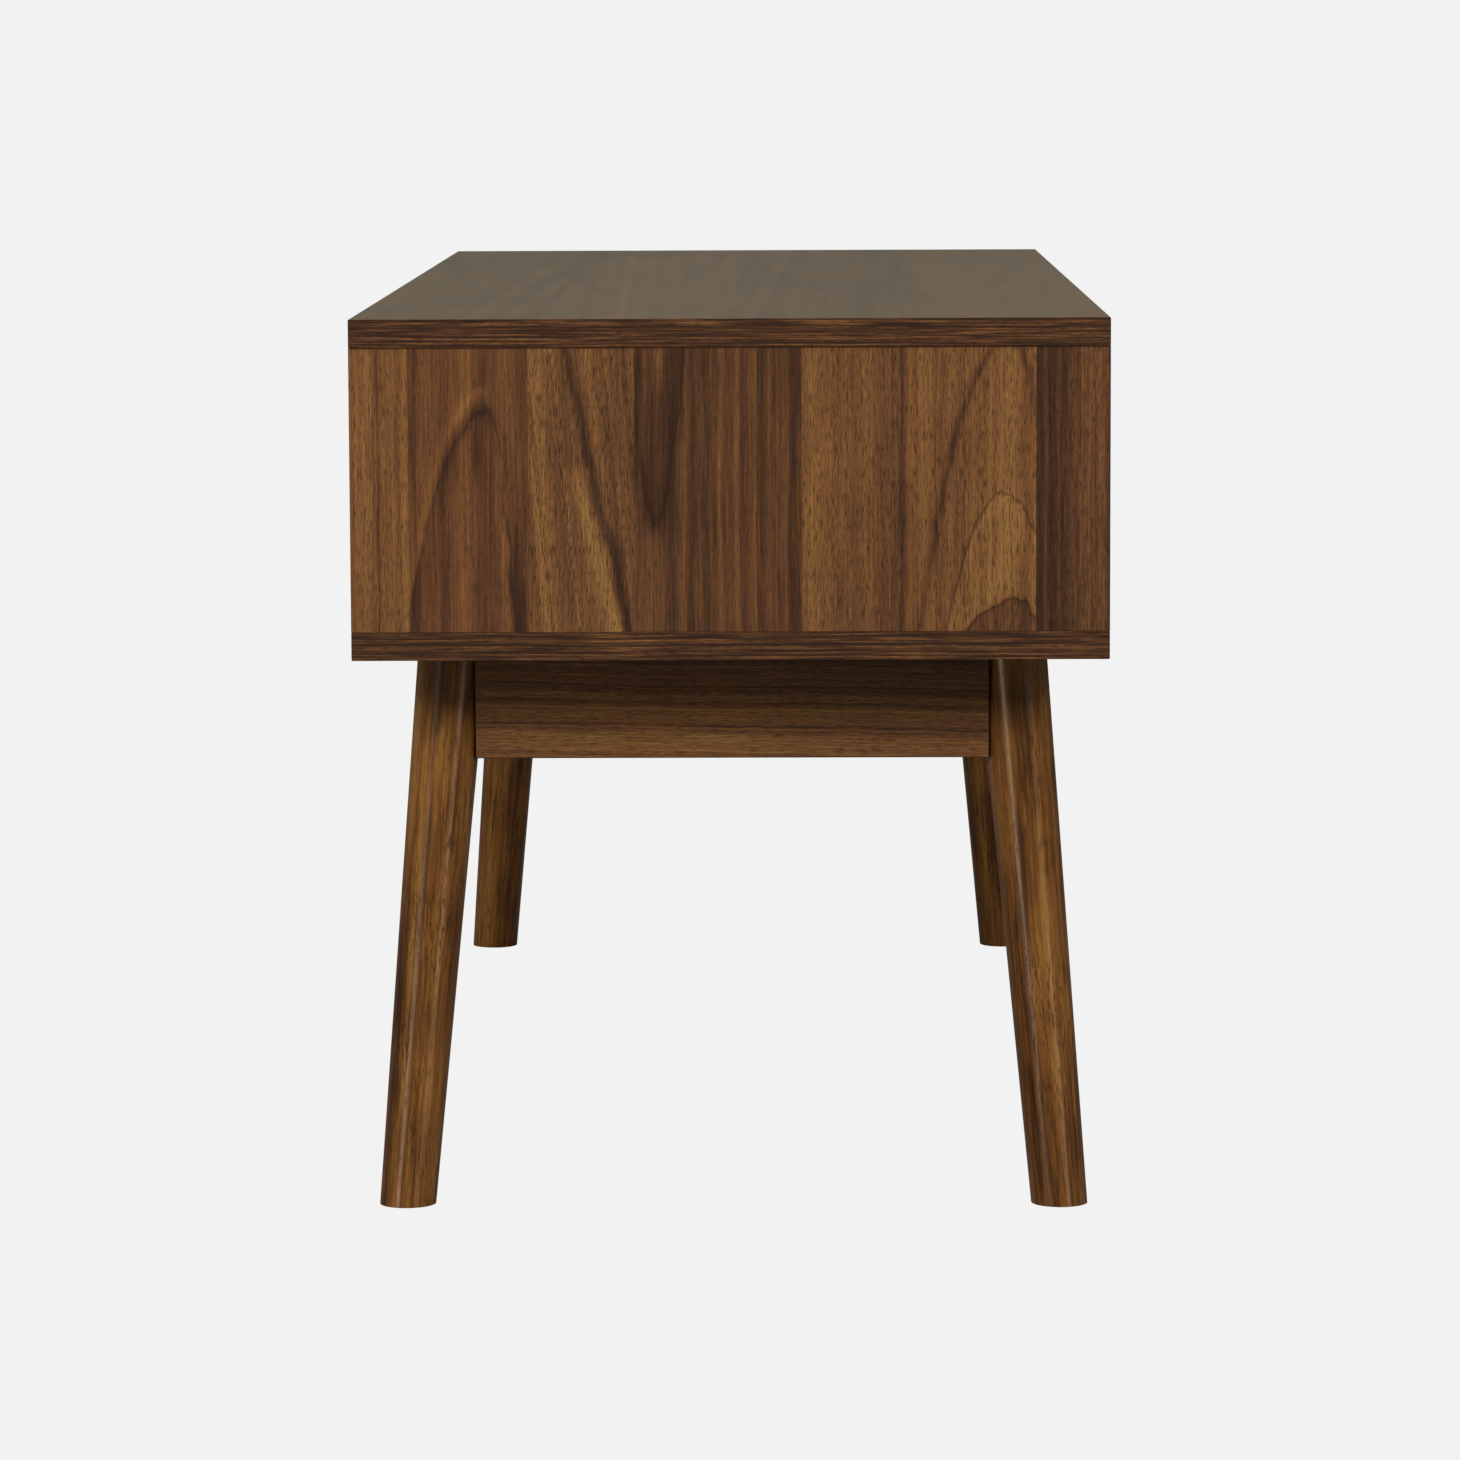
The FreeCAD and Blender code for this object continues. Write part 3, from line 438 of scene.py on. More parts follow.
@dataclass(frozen=True)
class Veneer:
    """Crown-cut walnut veneer on a flat board, with banded edges.

    The face's grain runs along one axis and its leaves lie side by side across it. On the
    board's narrow faces the grain follows the edge.
    """

    name: str
    along: Axis
    across: Axis
    start: float                     # the panel's first side on the across axis, metres
    base: float                      # the panel's lower end on the along axis
    leaves: Tuple[Leaf, ...]
    palette: WalnutPalette = field(default_factory=WalnutPalette)
    rough: float = 0.46
    gloss: float = 0.14
    coat: float = 0.0                # satin lacquer on the face, not on the edges
    edge_tone: float = 0.24
    # painted shadow lines along the panel's joints with its neighbours
    seam_shadows: Tuple[SeamShadow, ...] = ()

    def material(self) -> bpy.types.Material:
        """Build the material.

        Returns:
            The finished material.
        """
        shade = Shade(self.name)
        spot = shade.place()
        facing = shade.facing()
        thick = ({Axis.X, Axis.Y, Axis.Z} - {self.along, self.across}).pop()
        along = spot[self.along.value]
        across = spot[self.across.value]
        depth = spot[thick.value]
        face = self.figure(shade, across - self.start, along - self.base)
        # Edge bands: grain along the edge, growth lines through the board's thickness.
        edge_along = shade.choose(facing[self.along.value].ease(0.5, 0.75), along, across)
        edge = self.band(shade, depth, edge_along)
        on_face = facing[thick.value].ease(0.6, 0.8)
        mark = {key: shade.choose(on_face, edge[key], face[key]) for key in face}
        mark["coat"] = on_face * self.coat
        return self.finish(shade, mark, along - self.base)

    def figure(self, shade: Shade, side: Wire, height: Wire) -> Dict[str, Wire]:
        """Tone, pores and fibre of the face.

        Args:
            shade: The material.
            side: Distance across the panel from its first side.
            height: Distance along the grain from the panel's lower end.

        Returns:
            Values of about 0 to 1 for "tone", "pores" and "fibre".
        """
        sway = (shade.noise(side * 20.0, height * 8.0, 3.0, 2.0) - 0.5) * 0.016
        ripple = (shade.noise(side * 110.0, height * 38.0, 9.0, 2.0) - 0.5) * 0.007
        bent = side + sway * 0.5 + ripple * 0.9
        lift = height + sway + ripple * 2.0
        straight = side + sway * 0.3 + ripple * 0.3
        tone: Term = 0.0
        line: Term = 0.0
        contrast: Term = 0.0
        crowd: Term = 0.0
        ruddy: Term = 0.0
        begin: Term = 1.0
        for index, leaf in enumerate(self.leaves):
            last = index == len(self.leaves) - 1
            stop: Term = 0.0 if last else side > leaf.end
            here = begin - stop
            own: Term = leaf.tone
            for mark in leaf.marks:
                across = bent if isinstance(mark, Arch) else straight
                own = mark.tone_at(across, lift) + own
            tone = here * own + tone
            line = here * ((straight + height * leaf.lean) * leaf.pace + leaf.shift) + line
            contrast = here * leaf.lines + contrast
            crowd = here * leaf.pores + crowd
            ruddy = here * leaf.ruddy + ruddy
            begin = stop
        broad = shade.stripe(line, 2.0, 0.5)
        narrow = shade.stripe(line * 6.0 + 40.0, 2.0, 0.6)
        cloud = shade.noise(side * 16.0, height * 6.0, 17.0, 2.0)
        grain = (broad - 0.5) * 1.0 + (narrow - 0.5) * 0.55
        tone = tone + grain * contrast + (cloud - 0.5) * 0.45
        pores, fibre = self.texture(shade, side, height, line, crowd)
        return {"tone": tone, "pores": pores, "fibre": fibre, "ruddy": ruddy + (cloud - 0.5) * 0.8}

    @staticmethod
    def texture(shade: Shade, side: Term, along: Term, line: Term,
                crowd: Term) -> Tuple[Wire, Wire]:
        """Short dark vessels and fine streaks along the grain.

        Args:
            shade: The material.
            side: Distance across the grain.
            along: Distance along it.
            line: Place in the growth lines, which the vessels gather in.
            crowd: How many vessels show.

        Returns:
            Pores and fibre, 0 to 1.
        """
        squirm = (shade.noise(side * 260.0, along * 90.0, 61.0, 1.0) - 0.5) * 0.0022
        dash = shade.noise((side + squirm) * 1500.0, along * 150.0, 5.0, 2.0, 0.6)
        group = shade.stripe(line * 1.7 + 11.0, 1.0)
        pores = (dash + (group - 0.5) * 0.2).ease(0.46, 0.66) * crowd
        fibre = shade.noise((side + squirm * 0.6) * 800.0, along * 26.0, 23.0, 3.0, 0.6)
        return pores, fibre

    def band(self, shade: Shade, depth: Wire, along: Wire) -> Dict[str, Wire]:
        """Tone, pores and fibre of a banded edge, whose lines run along it.

        Args:
            shade: The material.
            depth: Distance through the board's thickness.
            along: Distance along the edge.

        Returns:
            Values like those of the face.
        """
        sway = (shade.noise(along * 10.0, depth * 25.0, 31.0, 2.0) - 0.5) * 0.004
        line = (depth + sway) * 520.0
        broad = shade.stripe(line + 7.0, 3.0, 0.6)
        streaks = shade.noise(along * 26.0, depth * 900.0, 41.0, 3.0)
        cloud = shade.noise(along * 14.0, depth * 130.0, 47.0, 2.0)
        tone = (broad - 0.5) * 1.2 + (streaks - 0.5) * 2.0 + (cloud - 0.5) * 0.6 + self.edge_tone
        pores, fibre = self.texture(shade, depth, along, line, 1.0)
        return {"tone": tone, "pores": pores, "fibre": fibre, "ruddy": cloud * 0.4}

    def finish(self, shade: Shade, mark: Mapping[str, Wire], height: Wire) -> bpy.types.Material:
        """Colour, gloss and relief from the grain's values, with painted shadow lines at the seams.

        Args:
            shade: The material.
            mark: The grain's values at each point.
            height: Distance along the grain from the panel's lower end, for the painted seam
                shadows.

        Returns:
            The finished material.
        """
        tone = mark["tone"] + (mark["fibre"] - 0.5) * 0.8
        colour = shade.ramp(tone.most(0.0).least(1.0), self.palette.stops())
        colour = shade.blend(mark["ruddy"].most(0.0).least(1.0), colour, self.palette.ruddy,
                             "MULTIPLY")
        colour = shade.blend((mark["pores"] * 0.52).least(0.8), colour, self.palette.pore)
        # Painted shadow: each seam darkens the colour towards the pore colour in a thin line along
        # the joint.
        for seam_shadow in self.seam_shadows:
            away = (height - seam_shadow.height) / seam_shadow.width
            colour = shade.blend((away * away * -1.0).power_of_e() * seam_shadow.depth, colour,
                                 self.palette.pore)
        rough = self.rough + mark["pores"] * 0.12 + (mark["fibre"] - 0.5) * 0.08
        relief = (1.0 - mark["pores"]) * 0.7 + mark["fibre"] * 0.3
        return shade.surface({
            "Base Color": colour,
            "Roughness": rough,
            "IOR": 1.5,
            "Specular IOR Level": self.gloss,
            "Coat Weight": mark["coat"],
            "Coat Roughness": 0.34,
            "Normal": shade.bump(relief, 0.05 * MM, 0.5),
        })


@dataclass(frozen=True)
class TurnedWalnut:
    """Solid lacquered walnut of a round leg, with its grain along the leg's own axis."""

    name: str
    foot: Tuple[float, float]        # place of the leg's axis on the floor
    lean: Tuple[float, float]        # sideways move of the axis to a metre of height
    heart: Tuple[float, float]       # centre of the growth rings, from the leg's axis
    shift: float
    palette: WalnutPalette = field(default_factory=lambda: WalnutPalette(
        darkest=tint(44, 25, 12), dark=tint(71, 42, 19), middle=tint(99, 61, 28),
        warm=tint(118, 77, 36), pale=tint(138, 96, 46), pore=tint(34, 19, 9)))

    def material(self) -> bpy.types.Material:
        """Build the material.

        Returns:
            The finished material.
        """
        shade = Shade(self.name)
        x, y, z = shade.place()
        east = x - self.foot[0] - z * self.lean[0]
        north = y - self.foot[1] - z * self.lean[1]
        sway = (shade.noise(x * 14.0, y * 14.0, z * 5.0 + self.shift, 2.0) - 0.5) * 0.008
        far_east = east - self.heart[0] + sway
        far_north = north - self.heart[1] + sway
        ring = (far_east * far_east + far_north * far_north).root() * 240.0
        broad = shade.stripe(ring + z * 2.0 + self.shift, 2.0, 0.5)
        streak = shade.noise(east * 95.0, north * 95.0, z * 7.0 + self.shift, 3.0, 0.55)
        fibre = shade.noise(east * 800.0, north * 800.0, z * 26.0, 2.0)
        dash = shade.noise(east * 1050.0, north * 1050.0, z * 130.0, 2.0, 0.6)
        crowd = shade.noise(x * 40.0, y * 40.0, z * 22.0 + self.shift, 1.0).ease(0.35, 0.65, 0.35)
        pores = (dash + (broad - 0.5) * 0.15).ease(0.50, 0.66) * crowd
        patch = shade.noise(east * 30.0, north * 30.0, z * 9.0 + self.shift, 3.0, 0.6)
        tone = (broad - 0.5) * 0.7 + (streak - 0.5) * 1.4 + (fibre - 0.5) * 1.0 + 0.54
        tone = tone + (patch - 0.5) * 1.3
        colour = shade.ramp(tone.most(0.0).least(1.0), self.palette.stops())
        colour = shade.blend(pores * 0.70, colour, self.palette.pore)
        return shade.surface({
            "Base Color": colour,
            "Roughness": 0.24 + pores * 0.16 + (fibre - 0.5) * 0.06,
            "IOR": 1.5,
            "Specular IOR Level": 0.34,
            "Specular Tint": (1.0, 0.80, 0.58, 1.0),
            "Normal": shade.bump((1.0 - pores) * 0.6 + fibre * 0.4, 0.04 * MM, 0.5),
        })


# ------------------------------------------------------------------ other finishes
@dataclass(frozen=True)
class PlainWood:
    """Pale, close-grained wood such as birch or beech, waxed only."""

    name: str
    along: Axis
    pale: Colour
    dark: Colour
    flecks: float = 0.0              # short dark rays, as in beech
    plies: float = 0.0               # thickness of one flat ply, 0 for solid wood
    rough: float = 0.58

    def material(self) -> bpy.types.Material:
        """Build the material.

        Returns:
            The finished material.
        """
        shade = Shade(self.name)
        spot = shade.place()
        along = spot[self.along.value]
        first, second = [spot[axis.value] for axis in Axis if axis is not self.along]
        sway = (shade.noise(first * 12.0, second * 12.0, along * 3.0) - 0.5) * 0.02
        rings = shade.stripe((first + second * 0.35 + sway) * 260.0, 3.0, 0.6)
        fibre = shade.noise(first * 900.0, second * 900.0, along * 22.0)
        cloud = shade.noise(first * 18.0, second * 18.0, along * 4.0)
        tone = (rings - 0.5) * 0.9 + (fibre - 0.5) * 0.7 + (cloud - 0.5) * 0.6 + 0.45
        if self.flecks:
            fleck = shade.noise(first * 620.0, second * 620.0, along * 170.0, 1.0).ease(0.60, 0.68)
            tone = tone + fleck * self.flecks
        if self.plies:
            layer = spot[Axis.Z.value] / self.plies
            odd = (layer.floor() * math.pi * 0.5).sine().magnitude()
            edge = shade.facing()[Axis.Z.value].ease(0.3, 0.6, 1.0, 0.0)
            tone = tone + (odd - 0.5) * 0.7 * edge
        colour = shade.blend(tone.most(0.0).least(1.0), self.pale, self.dark)
        return shade.surface({
            "Base Color": colour,
            "Roughness": self.rough + (fibre - 0.5) * 0.12,
            "IOR": 1.45,
            "Specular IOR Level": 0.3,
            "Normal": shade.bump(fibre, 0.04 * MM, 0.5),
        })


@dataclass(frozen=True)
class Metal:
    """Plated or cast metal, with rolling lines, a cloudy coat and small scratches."""

    name: str
    colour: Colour
    rough: float
    lines: float = 0.0               # strength of the rolling lines along Y
    cast: float = 0.0                # strength of a cast skin's grain
    worn: Colour = (0.30, 0.29, 0.27)

    def material(self) -> bpy.types.Material:
        """Build the material.

        Returns:
            The finished material.
        """
        shade = Shade(self.name)
        x, y, z = shade.place()
        cloud = shade.noise(x * 70.0, y * 40.0, z * 70.0, 3.0)
        rolled = shade.noise(x * 1900.0, y * 9.0, z * 1900.0, 2.0)
        grain = shade.noise(x * 1500.0, y * 1500.0, z * 1500.0, 2.0)
        scratch = shade.noise(x * 500.0, y * 35.0, z * 260.0, 1.0).ease(0.66, 0.70)
        dull = (cloud - 0.5) * 0.5 + (rolled - 0.5) * self.lines + scratch * 0.25 + 0.12
        colour = shade.blend(dull.most(0.0).least(1.0), self.colour, self.worn)
        relief = rolled * self.lines + grain * self.cast
        return shade.surface({
            "Base Color": colour,
            "Metallic": 1.0,
            "Roughness": self.rough + (cloud - 0.5) * 0.16 + scratch * 0.12,
            "Normal": shade.bump(relief, 0.03 * MM, 0.6),
        })


@dataclass(frozen=True)
class Moulded:
    """Moulded plastic or rubber, with a fine spark-eroded skin and a little dust."""

    name: str
    colour: Colour
    dusty: Colour
    rough: float

    def material(self) -> bpy.types.Material:
        """Build the material.

        Returns:
            The finished material.
        """
        shade = Shade(self.name)
        x, y, z = shade.place()
        skin = shade.noise(x * 2600.0, y * 2600.0, z * 2600.0, 2.0)
        cloud = shade.noise(x * 90.0, y * 90.0, z * 90.0, 3.0)
        dust = (cloud - 0.35).most(0.0) * 0.6 + (skin - 0.5).most(0.0) * 0.4
        return shade.surface({
            "Base Color": shade.blend(dust.least(1.0), self.colour, self.dusty),
            "Roughness": self.rough + (cloud - 0.5) * 0.18,
            "IOR": 1.5,
            "Specular IOR Level": 0.4,
            "Normal": shade.bump(skin, 0.03 * MM, 0.6),
        })


# ------------------------------------------------------------------ surfaces
def circle(sides: int) -> np.ndarray:
    """Equal turns round a circle, in radians, from 0."""
    return np.linspace(0.0, 2.0 * math.pi, sides + 1)[:-1]


def round_points(radius: np.ndarray, turns: np.ndarray, height: np.ndarray) -> np.ndarray:
    """Points (r cos t, r sin t, h)."""
    return np.stack([radius * np.cos(turns), radius * np.sin(turns), height], -1)


def turned_basis(axis: np.ndarray) -> np.ndarray:
    """Right-handed set of directions about an axis.

    Args:
        axis: A unit direction.

    Returns:
        The directions as rows, the axis last.
    """
    helper = np.array([0.0, 0.0, 1.0]) if abs(axis[2]) < 0.9 else np.array([1.0, 0.0, 0.0])
    first = np.cross(helper, axis)
    first /= np.linalg.norm(first)
    return np.stack([first, np.cross(axis, first), axis])


def rounded(corners: Sequence[Tuple[float, float, float]], steps: int = 4) -> np.ndarray:
    """Closed outline with its corners rounded.

    Each corner is replaced by an arc of its radius that touches both of its sides: the arc's
    centre lies on the corner's bisector, and the arc is cut into equal angles.

    Args:
        corners: Place and radius of each corner, counter-clockwise.
        steps: Straight pieces in an arc.

    Returns:
        Points of the outline, in order.
    """
    points = []
    total = len(corners)
    for index, (x, y, radius) in enumerate(corners):
        here = np.array([x, y])
        before = np.array(corners[index - 1][:2]) - here
        after = np.array(corners[(index + 1) % total][:2]) - here
        before /= np.linalg.norm(before)
        after /= np.linalg.norm(after)
        half = 0.5 * math.acos(float(np.clip(before @ after, -1.0, 1.0)))
        if radius <= 0.0 or half < 1e-3:
            points.append(here[None])
            continue
        run = radius / math.tan(half)
        bisector = (before + after) / np.linalg.norm(before + after)
        centre = here + bisector * radius / math.sin(half)
        start = here + before * run - centre
        stop = here + after * run - centre
        begin = math.atan2(start[1], start[0])
        turn = math.remainder(math.atan2(stop[1], stop[0]) - begin, 2.0 * math.pi)
        angles = begin + turn * np.linspace(0.0, 1.0, steps + 1)
        points.append(centre + radius * np.stack([np.cos(angles), np.sin(angles)], 1))
    return np.concatenate(points)


@dataclass
class Skin:
    """Vertices and faces gathered for one piece."""

    points: List[np.ndarray] = field(default_factory=list)
    faces: List[Tuple[int, ...]] = field(default_factory=list)
    count: int = 0

    def add_grid(self, grid: np.ndarray, start: Optional[np.ndarray] = None,
                 stop: Optional[np.ndarray] = None, flat_ends: bool = False) -> None:
        """Skin over rings of points, each ring one row of the grid.

        Args:
            grid: Points, rows by columns by 3. Rings turn counter-clockwise about the way the
                rows go, so that faces point outwards.
            start: Pole that closes the first ring.
            stop: Pole that closes the last ring.
            flat_ends: Close both end rings with one flat face each.
        """
        rows, columns = grid.shape[:2]
        first = self.count
        self.points.append(grid.reshape(-1, 3))
        self.count += rows * columns
        cell = first + np.arange(rows * columns).reshape(rows, columns)
        beside = np.roll(cell, -1, axis=1)
        quads = np.stack([cell[:-1], beside[:-1], beside[1:], cell[1:]], -1).reshape(-1, 4)
        self.faces += [tuple(quad) for quad in quads.tolist()]
        if flat_ends:
            self.faces.append(tuple(cell[0, ::-1].tolist()))
            self.faces.append(tuple(cell[-1].tolist()))
        for pole, ring, after in ((start, beside[0], cell[0]), (stop, cell[-1], beside[-1])):
            if pole is None:
                continue
            self.points.append(np.asarray(pole, dtype=float).reshape(1, 3))
            fan = np.stack([np.full(columns, self.count), ring, after], -1)
            self.faces += [tuple(face) for face in fan.tolist()]
            self.count += 1

    def add_hoop(self, local: np.ndarray, solid: "Solid") -> None:
        """Closed section carried all the way round an axis.

        Args:
            local: Points, turns by section by 3, about the solid's own axis.
            solid: The solid in whose place it stands.
        """
        grid = (local @ turned_basis(solid.axis) + solid.centre)[::-1]
        rows, columns = grid.shape[:2]
        cell = self.count + np.arange(rows * columns).reshape(rows, columns)
        self.add_grid(grid)
        beside = np.roll(cell, -1, axis=1)
        quads = np.stack([cell[-1], beside[-1], beside[0], cell[0]], -1)
        self.faces += [tuple(quad) for quad in quads.tolist()]

    def add_turned(self, profile: Sequence[Tuple[float, float]], centre: np.ndarray,
                   axis: np.ndarray, sides: int = 32) -> None:
        """Profile of radius and height turned about an axis: (r cos t, r sin t, h).

        Args:
            profile: Radius and height of each ring; it starts and ends on the axis.
            centre: Where the height is 0.
            axis: Unit direction in which the height grows.
            sides: Points in a ring.
        """
        outline = np.array(profile)
        ring = outline[1:-1]
        local = round_points(ring[:, :1], circle(sides), np.repeat(ring[:, 1:], sides, 1))
        self.add_grid(local @ turned_basis(axis) + centre, centre + axis * outline[0, 1],
                      centre + axis * outline[-1, 1])

    def piece(self, name: str, material: bpy.types.Material, body: str, slot: str,
              nodes: Sequence[str] = (), smooth: float = 35.0) -> bpy.types.Object:
        """Make the mesh, dress it and tie it to its body.

        Args:
            name: The piece's name.
            material: Its finish.
            body: The moving body that it rides on.
            slot: The record's material slot; not used.
            nodes: CAD nodes that it stands for.
            smooth: Angle in degrees over which an edge stays sharp.

        Returns:
            The new object, at the origin.
        """
        mesh = bpy.data.meshes.new(name)
        mesh.from_pydata(np.concatenate(self.points).tolist(), [], self.faces)
        mesh.materials.append(material)
        mesh.polygons.foreach_set("use_smooth", np.ones(len(mesh.polygons), dtype=bool))
        mesh.set_sharp_from_angle(angle=math.radians(smooth))
        mesh.validate()
        piece = bpy.data.objects.new(name, mesh)
        bpy.context.scene.collection.objects.link(piece)
        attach(piece, body)
        if nodes:
            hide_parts(*nodes)
        return piece


@dataclass(frozen=True)
class Solid:
    """One separate solid of a CAD node, found from the node's own mesh."""

    centre: np.ndarray
    axis: np.ndarray        # unit, towards the wider end where the ends differ
    length: float           # along the axis
    radius: float           # largest distance from the axis

    @property
    def top(self) -> np.ndarray:
        """Middle of the end that the axis points at."""
        return self.centre + self.axis * self.length / 2.0


def solids_of(piece: bpy.types.Object, flat: bool = False) -> List[Solid]:
    """Separate solids of a CAD node.

    Vertices at the same place are one, triangles join them into solids, and a solid's axis is
    its longest principal direction, or its shortest where the solids are flat.

    Args:
        piece: The node's object.
        flat: Whether its solids are discs or rings, not rods.

    Returns:
        One Solid for each.
    """
    mesh = piece.data
    places = np.empty(len(mesh.vertices) * 3)
    mesh.vertices.foreach_get("co", places)
    places = places.reshape(-1, 3)
    corners = np.empty(len(mesh.loops), dtype=np.int64)
    mesh.loops.foreach_get("vertex_index", corners)
    _, first, same = np.unique(np.round(places / (0.01 * MM)).astype(np.int64), axis=0,
                               return_index=True, return_inverse=True)
    triangles = same.reshape(-1)[corners].reshape(-1, 3)
    label = np.arange(len(first))
    while True:
        low = label[triangles].min(1)
        new = label.copy()
        for column in range(3):
            np.minimum.at(new, triangles[:, column], low)
        new = new[new]
        if np.array_equal(new, label):
            break
        label = new
    found = []
    for mark in np.unique(label):
        cloud = places[first[label == mark]]
        centre = (cloud.min(0) + cloud.max(0)) / 2.0
        _, _, directions = np.linalg.svd(cloud - cloud.mean(0))
        axis = directions[2 if flat else 0]
        along = (cloud - centre) @ axis
        centre = centre + axis * (along.max() + along.min()) / 2.0
        along = (cloud - centre) @ axis
        away = np.linalg.norm(cloud - centre - np.outer(along, axis), axis=1)
        if away[along < 0.0].max() > away[along > 0.0].max() + 0.1 * MM:
            axis = -axis
        found.append(Solid(centre, axis, float(along.max() - along.min()), float(away.max())))
    return found


def remake(frame: Mapping[str, object], node: str, look: str, material: bpy.types.Material,
           body: str, slot: str, add: Callable[[Skin, Solid], None], flat: bool = False) -> None:
    """Stand finished solids in the places of a CAD node's own.

    Args:
        frame: The loaded frame.
        node: The CAD node.
        look: Word for the new shape; the piece is called node_look.
        material: Its finish.
        body: The body that it rides on.
        slot: The record's material slot.
        add: Adds one finished solid to the skin.
        flat: Whether the node's solids are discs or rings.
    """
    skin = Skin()
    for solid in solids_of(frame["nodes"][node], flat):
        add(skin, solid)
    skin.piece("%s_%s" % (node, look), material, body, slot, [node])


# ------------------------------------------------------------------ studio
@dataclass
class Studio:
    """Plain pale floor and backdrop, soft lights and the camera."""

    eye: Vector = field(default_factory=lambda: Vector((3.589, 0.0378, 0.6256)))
    pitch: float = 0.11686           # downwards, radians
    yaw: float = -0.01235            # towards -Y, radians
    roll: float = 0.0040
    lens: float = 145.25
    sensor: float = 36.0
    paper: Colour = tint(242, 242, 242)
    ambient: Colour = (0.07, 0.075, 0.07)
    mirrored: Colour = (0.235, 0.230, 0.180)     # what glossy surfaces see of the room
    level: float = -0.2 * MM         # of the floor, a hair under the glides
    reach: float = 60.0              # radius of the floor
    aim: Vector = field(default_factory=lambda: Vector((0.0, 0.0, 0.30)))

    def build(self) -> None:
        """Make the whole studio."""
        self.set_colours()
        self.build_camera()
        self.build_paper()
        self.build_room()
        self.build_lights()

    @staticmethod
    def set_colours() -> None:
        """Show colours as they are, with no film curve."""
        bpy.context.scene.view_settings.view_transform = "Standard"

    def build_camera(self) -> None:
        """Camera at the end of the table, a little above it.

        Its forward line is (-cos pitch cos yaw, cos pitch sin yaw, -sin pitch), turned about
        itself by the roll.
        """
        forward = Vector((-math.cos(self.pitch) * math.cos(self.yaw),
                          math.cos(self.pitch) * math.sin(self.yaw),
                          -math.sin(self.pitch)))
        right = forward.cross(Vector((0.0, 0.0, 1.0))).normalized()
        down = forward.cross(right)
        level_right = math.cos(self.roll) * right + math.sin(self.roll) * down
        level_down = -math.sin(self.roll) * right + math.cos(self.roll) * down
        data = bpy.data.cameras.new("camera")
        data.lens = self.lens
        data.sensor_width = self.sensor
        data.clip_end = 100.0
        camera = bpy.data.objects.new("camera", data)
        turn = Matrix((level_right, -level_down, -forward)).transposed()
        camera.matrix_world = Matrix.Translation(self.eye) @ turn.to_4x4()
        bpy.context.scene.collection.objects.link(camera)
        bpy.context.scene.camera = camera

    def build_paper(self) -> None:
        """Floor: a wide flat disc of pale studio paper."""
        turns = circle(96)
        rim = round_points(self.reach, turns, np.full_like(turns, self.level))
        mesh = bpy.data.meshes.new("floor")
        mesh.from_pydata(rim.tolist(), [], [list(range(len(rim)))])
        floor = bpy.data.objects.new("floor", mesh)
        bpy.context.scene.collection.objects.link(floor)
        shade = Shade("floor_paper")
        glow = shade.add("ShaderNodeEmission", {}, {"Color": self.paper, "Strength": 1.0})
        matt = shade.add("ShaderNodeBsdfDiffuse", {}, {"Color": (0.16, 0.16, 0.16)})
        seen = shade.add("ShaderNodeLightPath", output="Is Camera Ray")
        both = shade.add("ShaderNodeMixShader", {}, {0: seen, 1: matt, 2: glow})
        mesh.materials.append(shade.close(both))

    def build_room(self) -> None:
        """Room round the table: paper in sight, and a weak even light from all sides."""
        shade = Shade("studio", world=True)
        glossy = shade.add("ShaderNodeLightPath", output="Is Glossy Ray")
        seen = shade.add("ShaderNodeLightPath", output="Is Camera Ray")
        unseen = shade.blend(glossy, self.ambient, self.mirrored)
        light = shade.add("ShaderNodeBackground", {},
                          {"Color": shade.blend(seen, unseen, self.paper)})
        bpy.context.scene.world = shade.close(light)

    def build_lights(self) -> None:
        """Two soft boxes either side of the camera, and weaker ones round the table.

        Only the two low strips show in glossy surfaces. They stand lower than the table top, so
        that they mark the legs' roundness and leave no glare on the top.
        """
        boxes = (
            ("key_left", (2.70, -1.55, 1.85), (1.1, 1.0), 62.0),
            ("key_right", (2.70, 1.55, 1.85), (1.1, 1.0), 62.0),
            ("strip_left", (2.60, -1.95, 0.25), (0.46, 0.42), 7.0),
            ("strip_right", (2.60, 1.95, 0.25), (0.46, 0.42), 4.0),
            ("fill_front", (-0.90, -2.60, 1.40), (1.4, 1.3), 22.0),
            ("fill_back", (-0.90, 2.60, 1.40), (1.4, 1.3), 18.0),
            ("fill_far", (-2.90, 0.00, 1.70), (1.4, 1.4), 26.0),
        )
        for name, place, size, power in boxes:
            data = bpy.data.lights.new(name, "AREA")
            data.shape = "RECTANGLE"
            data.size, data.size_y = size
            data.energy = power
            lamp = bpy.data.objects.new(name, data)
            lamp.location = place
            lamp.rotation_euler = (self.aim - Vector(place)).to_track_quat("-Z", "Y").to_euler()
            lamp.visible_glossy = name.startswith("strip")
            bpy.context.scene.collection.objects.link(lamp)


def dress(frame: Mapping[str, object], nodes: Iterable[str],
          material: bpy.types.Material) -> None:
    """Give CAD nodes a finish.

    Args:
        frame: The loaded frame.
        nodes: The nodes' names.
        material: Their finish.
    """
    for name in nodes:
        piece = frame["nodes"][name]
        piece.data.materials.clear()
        piece.data.materials.append(material)


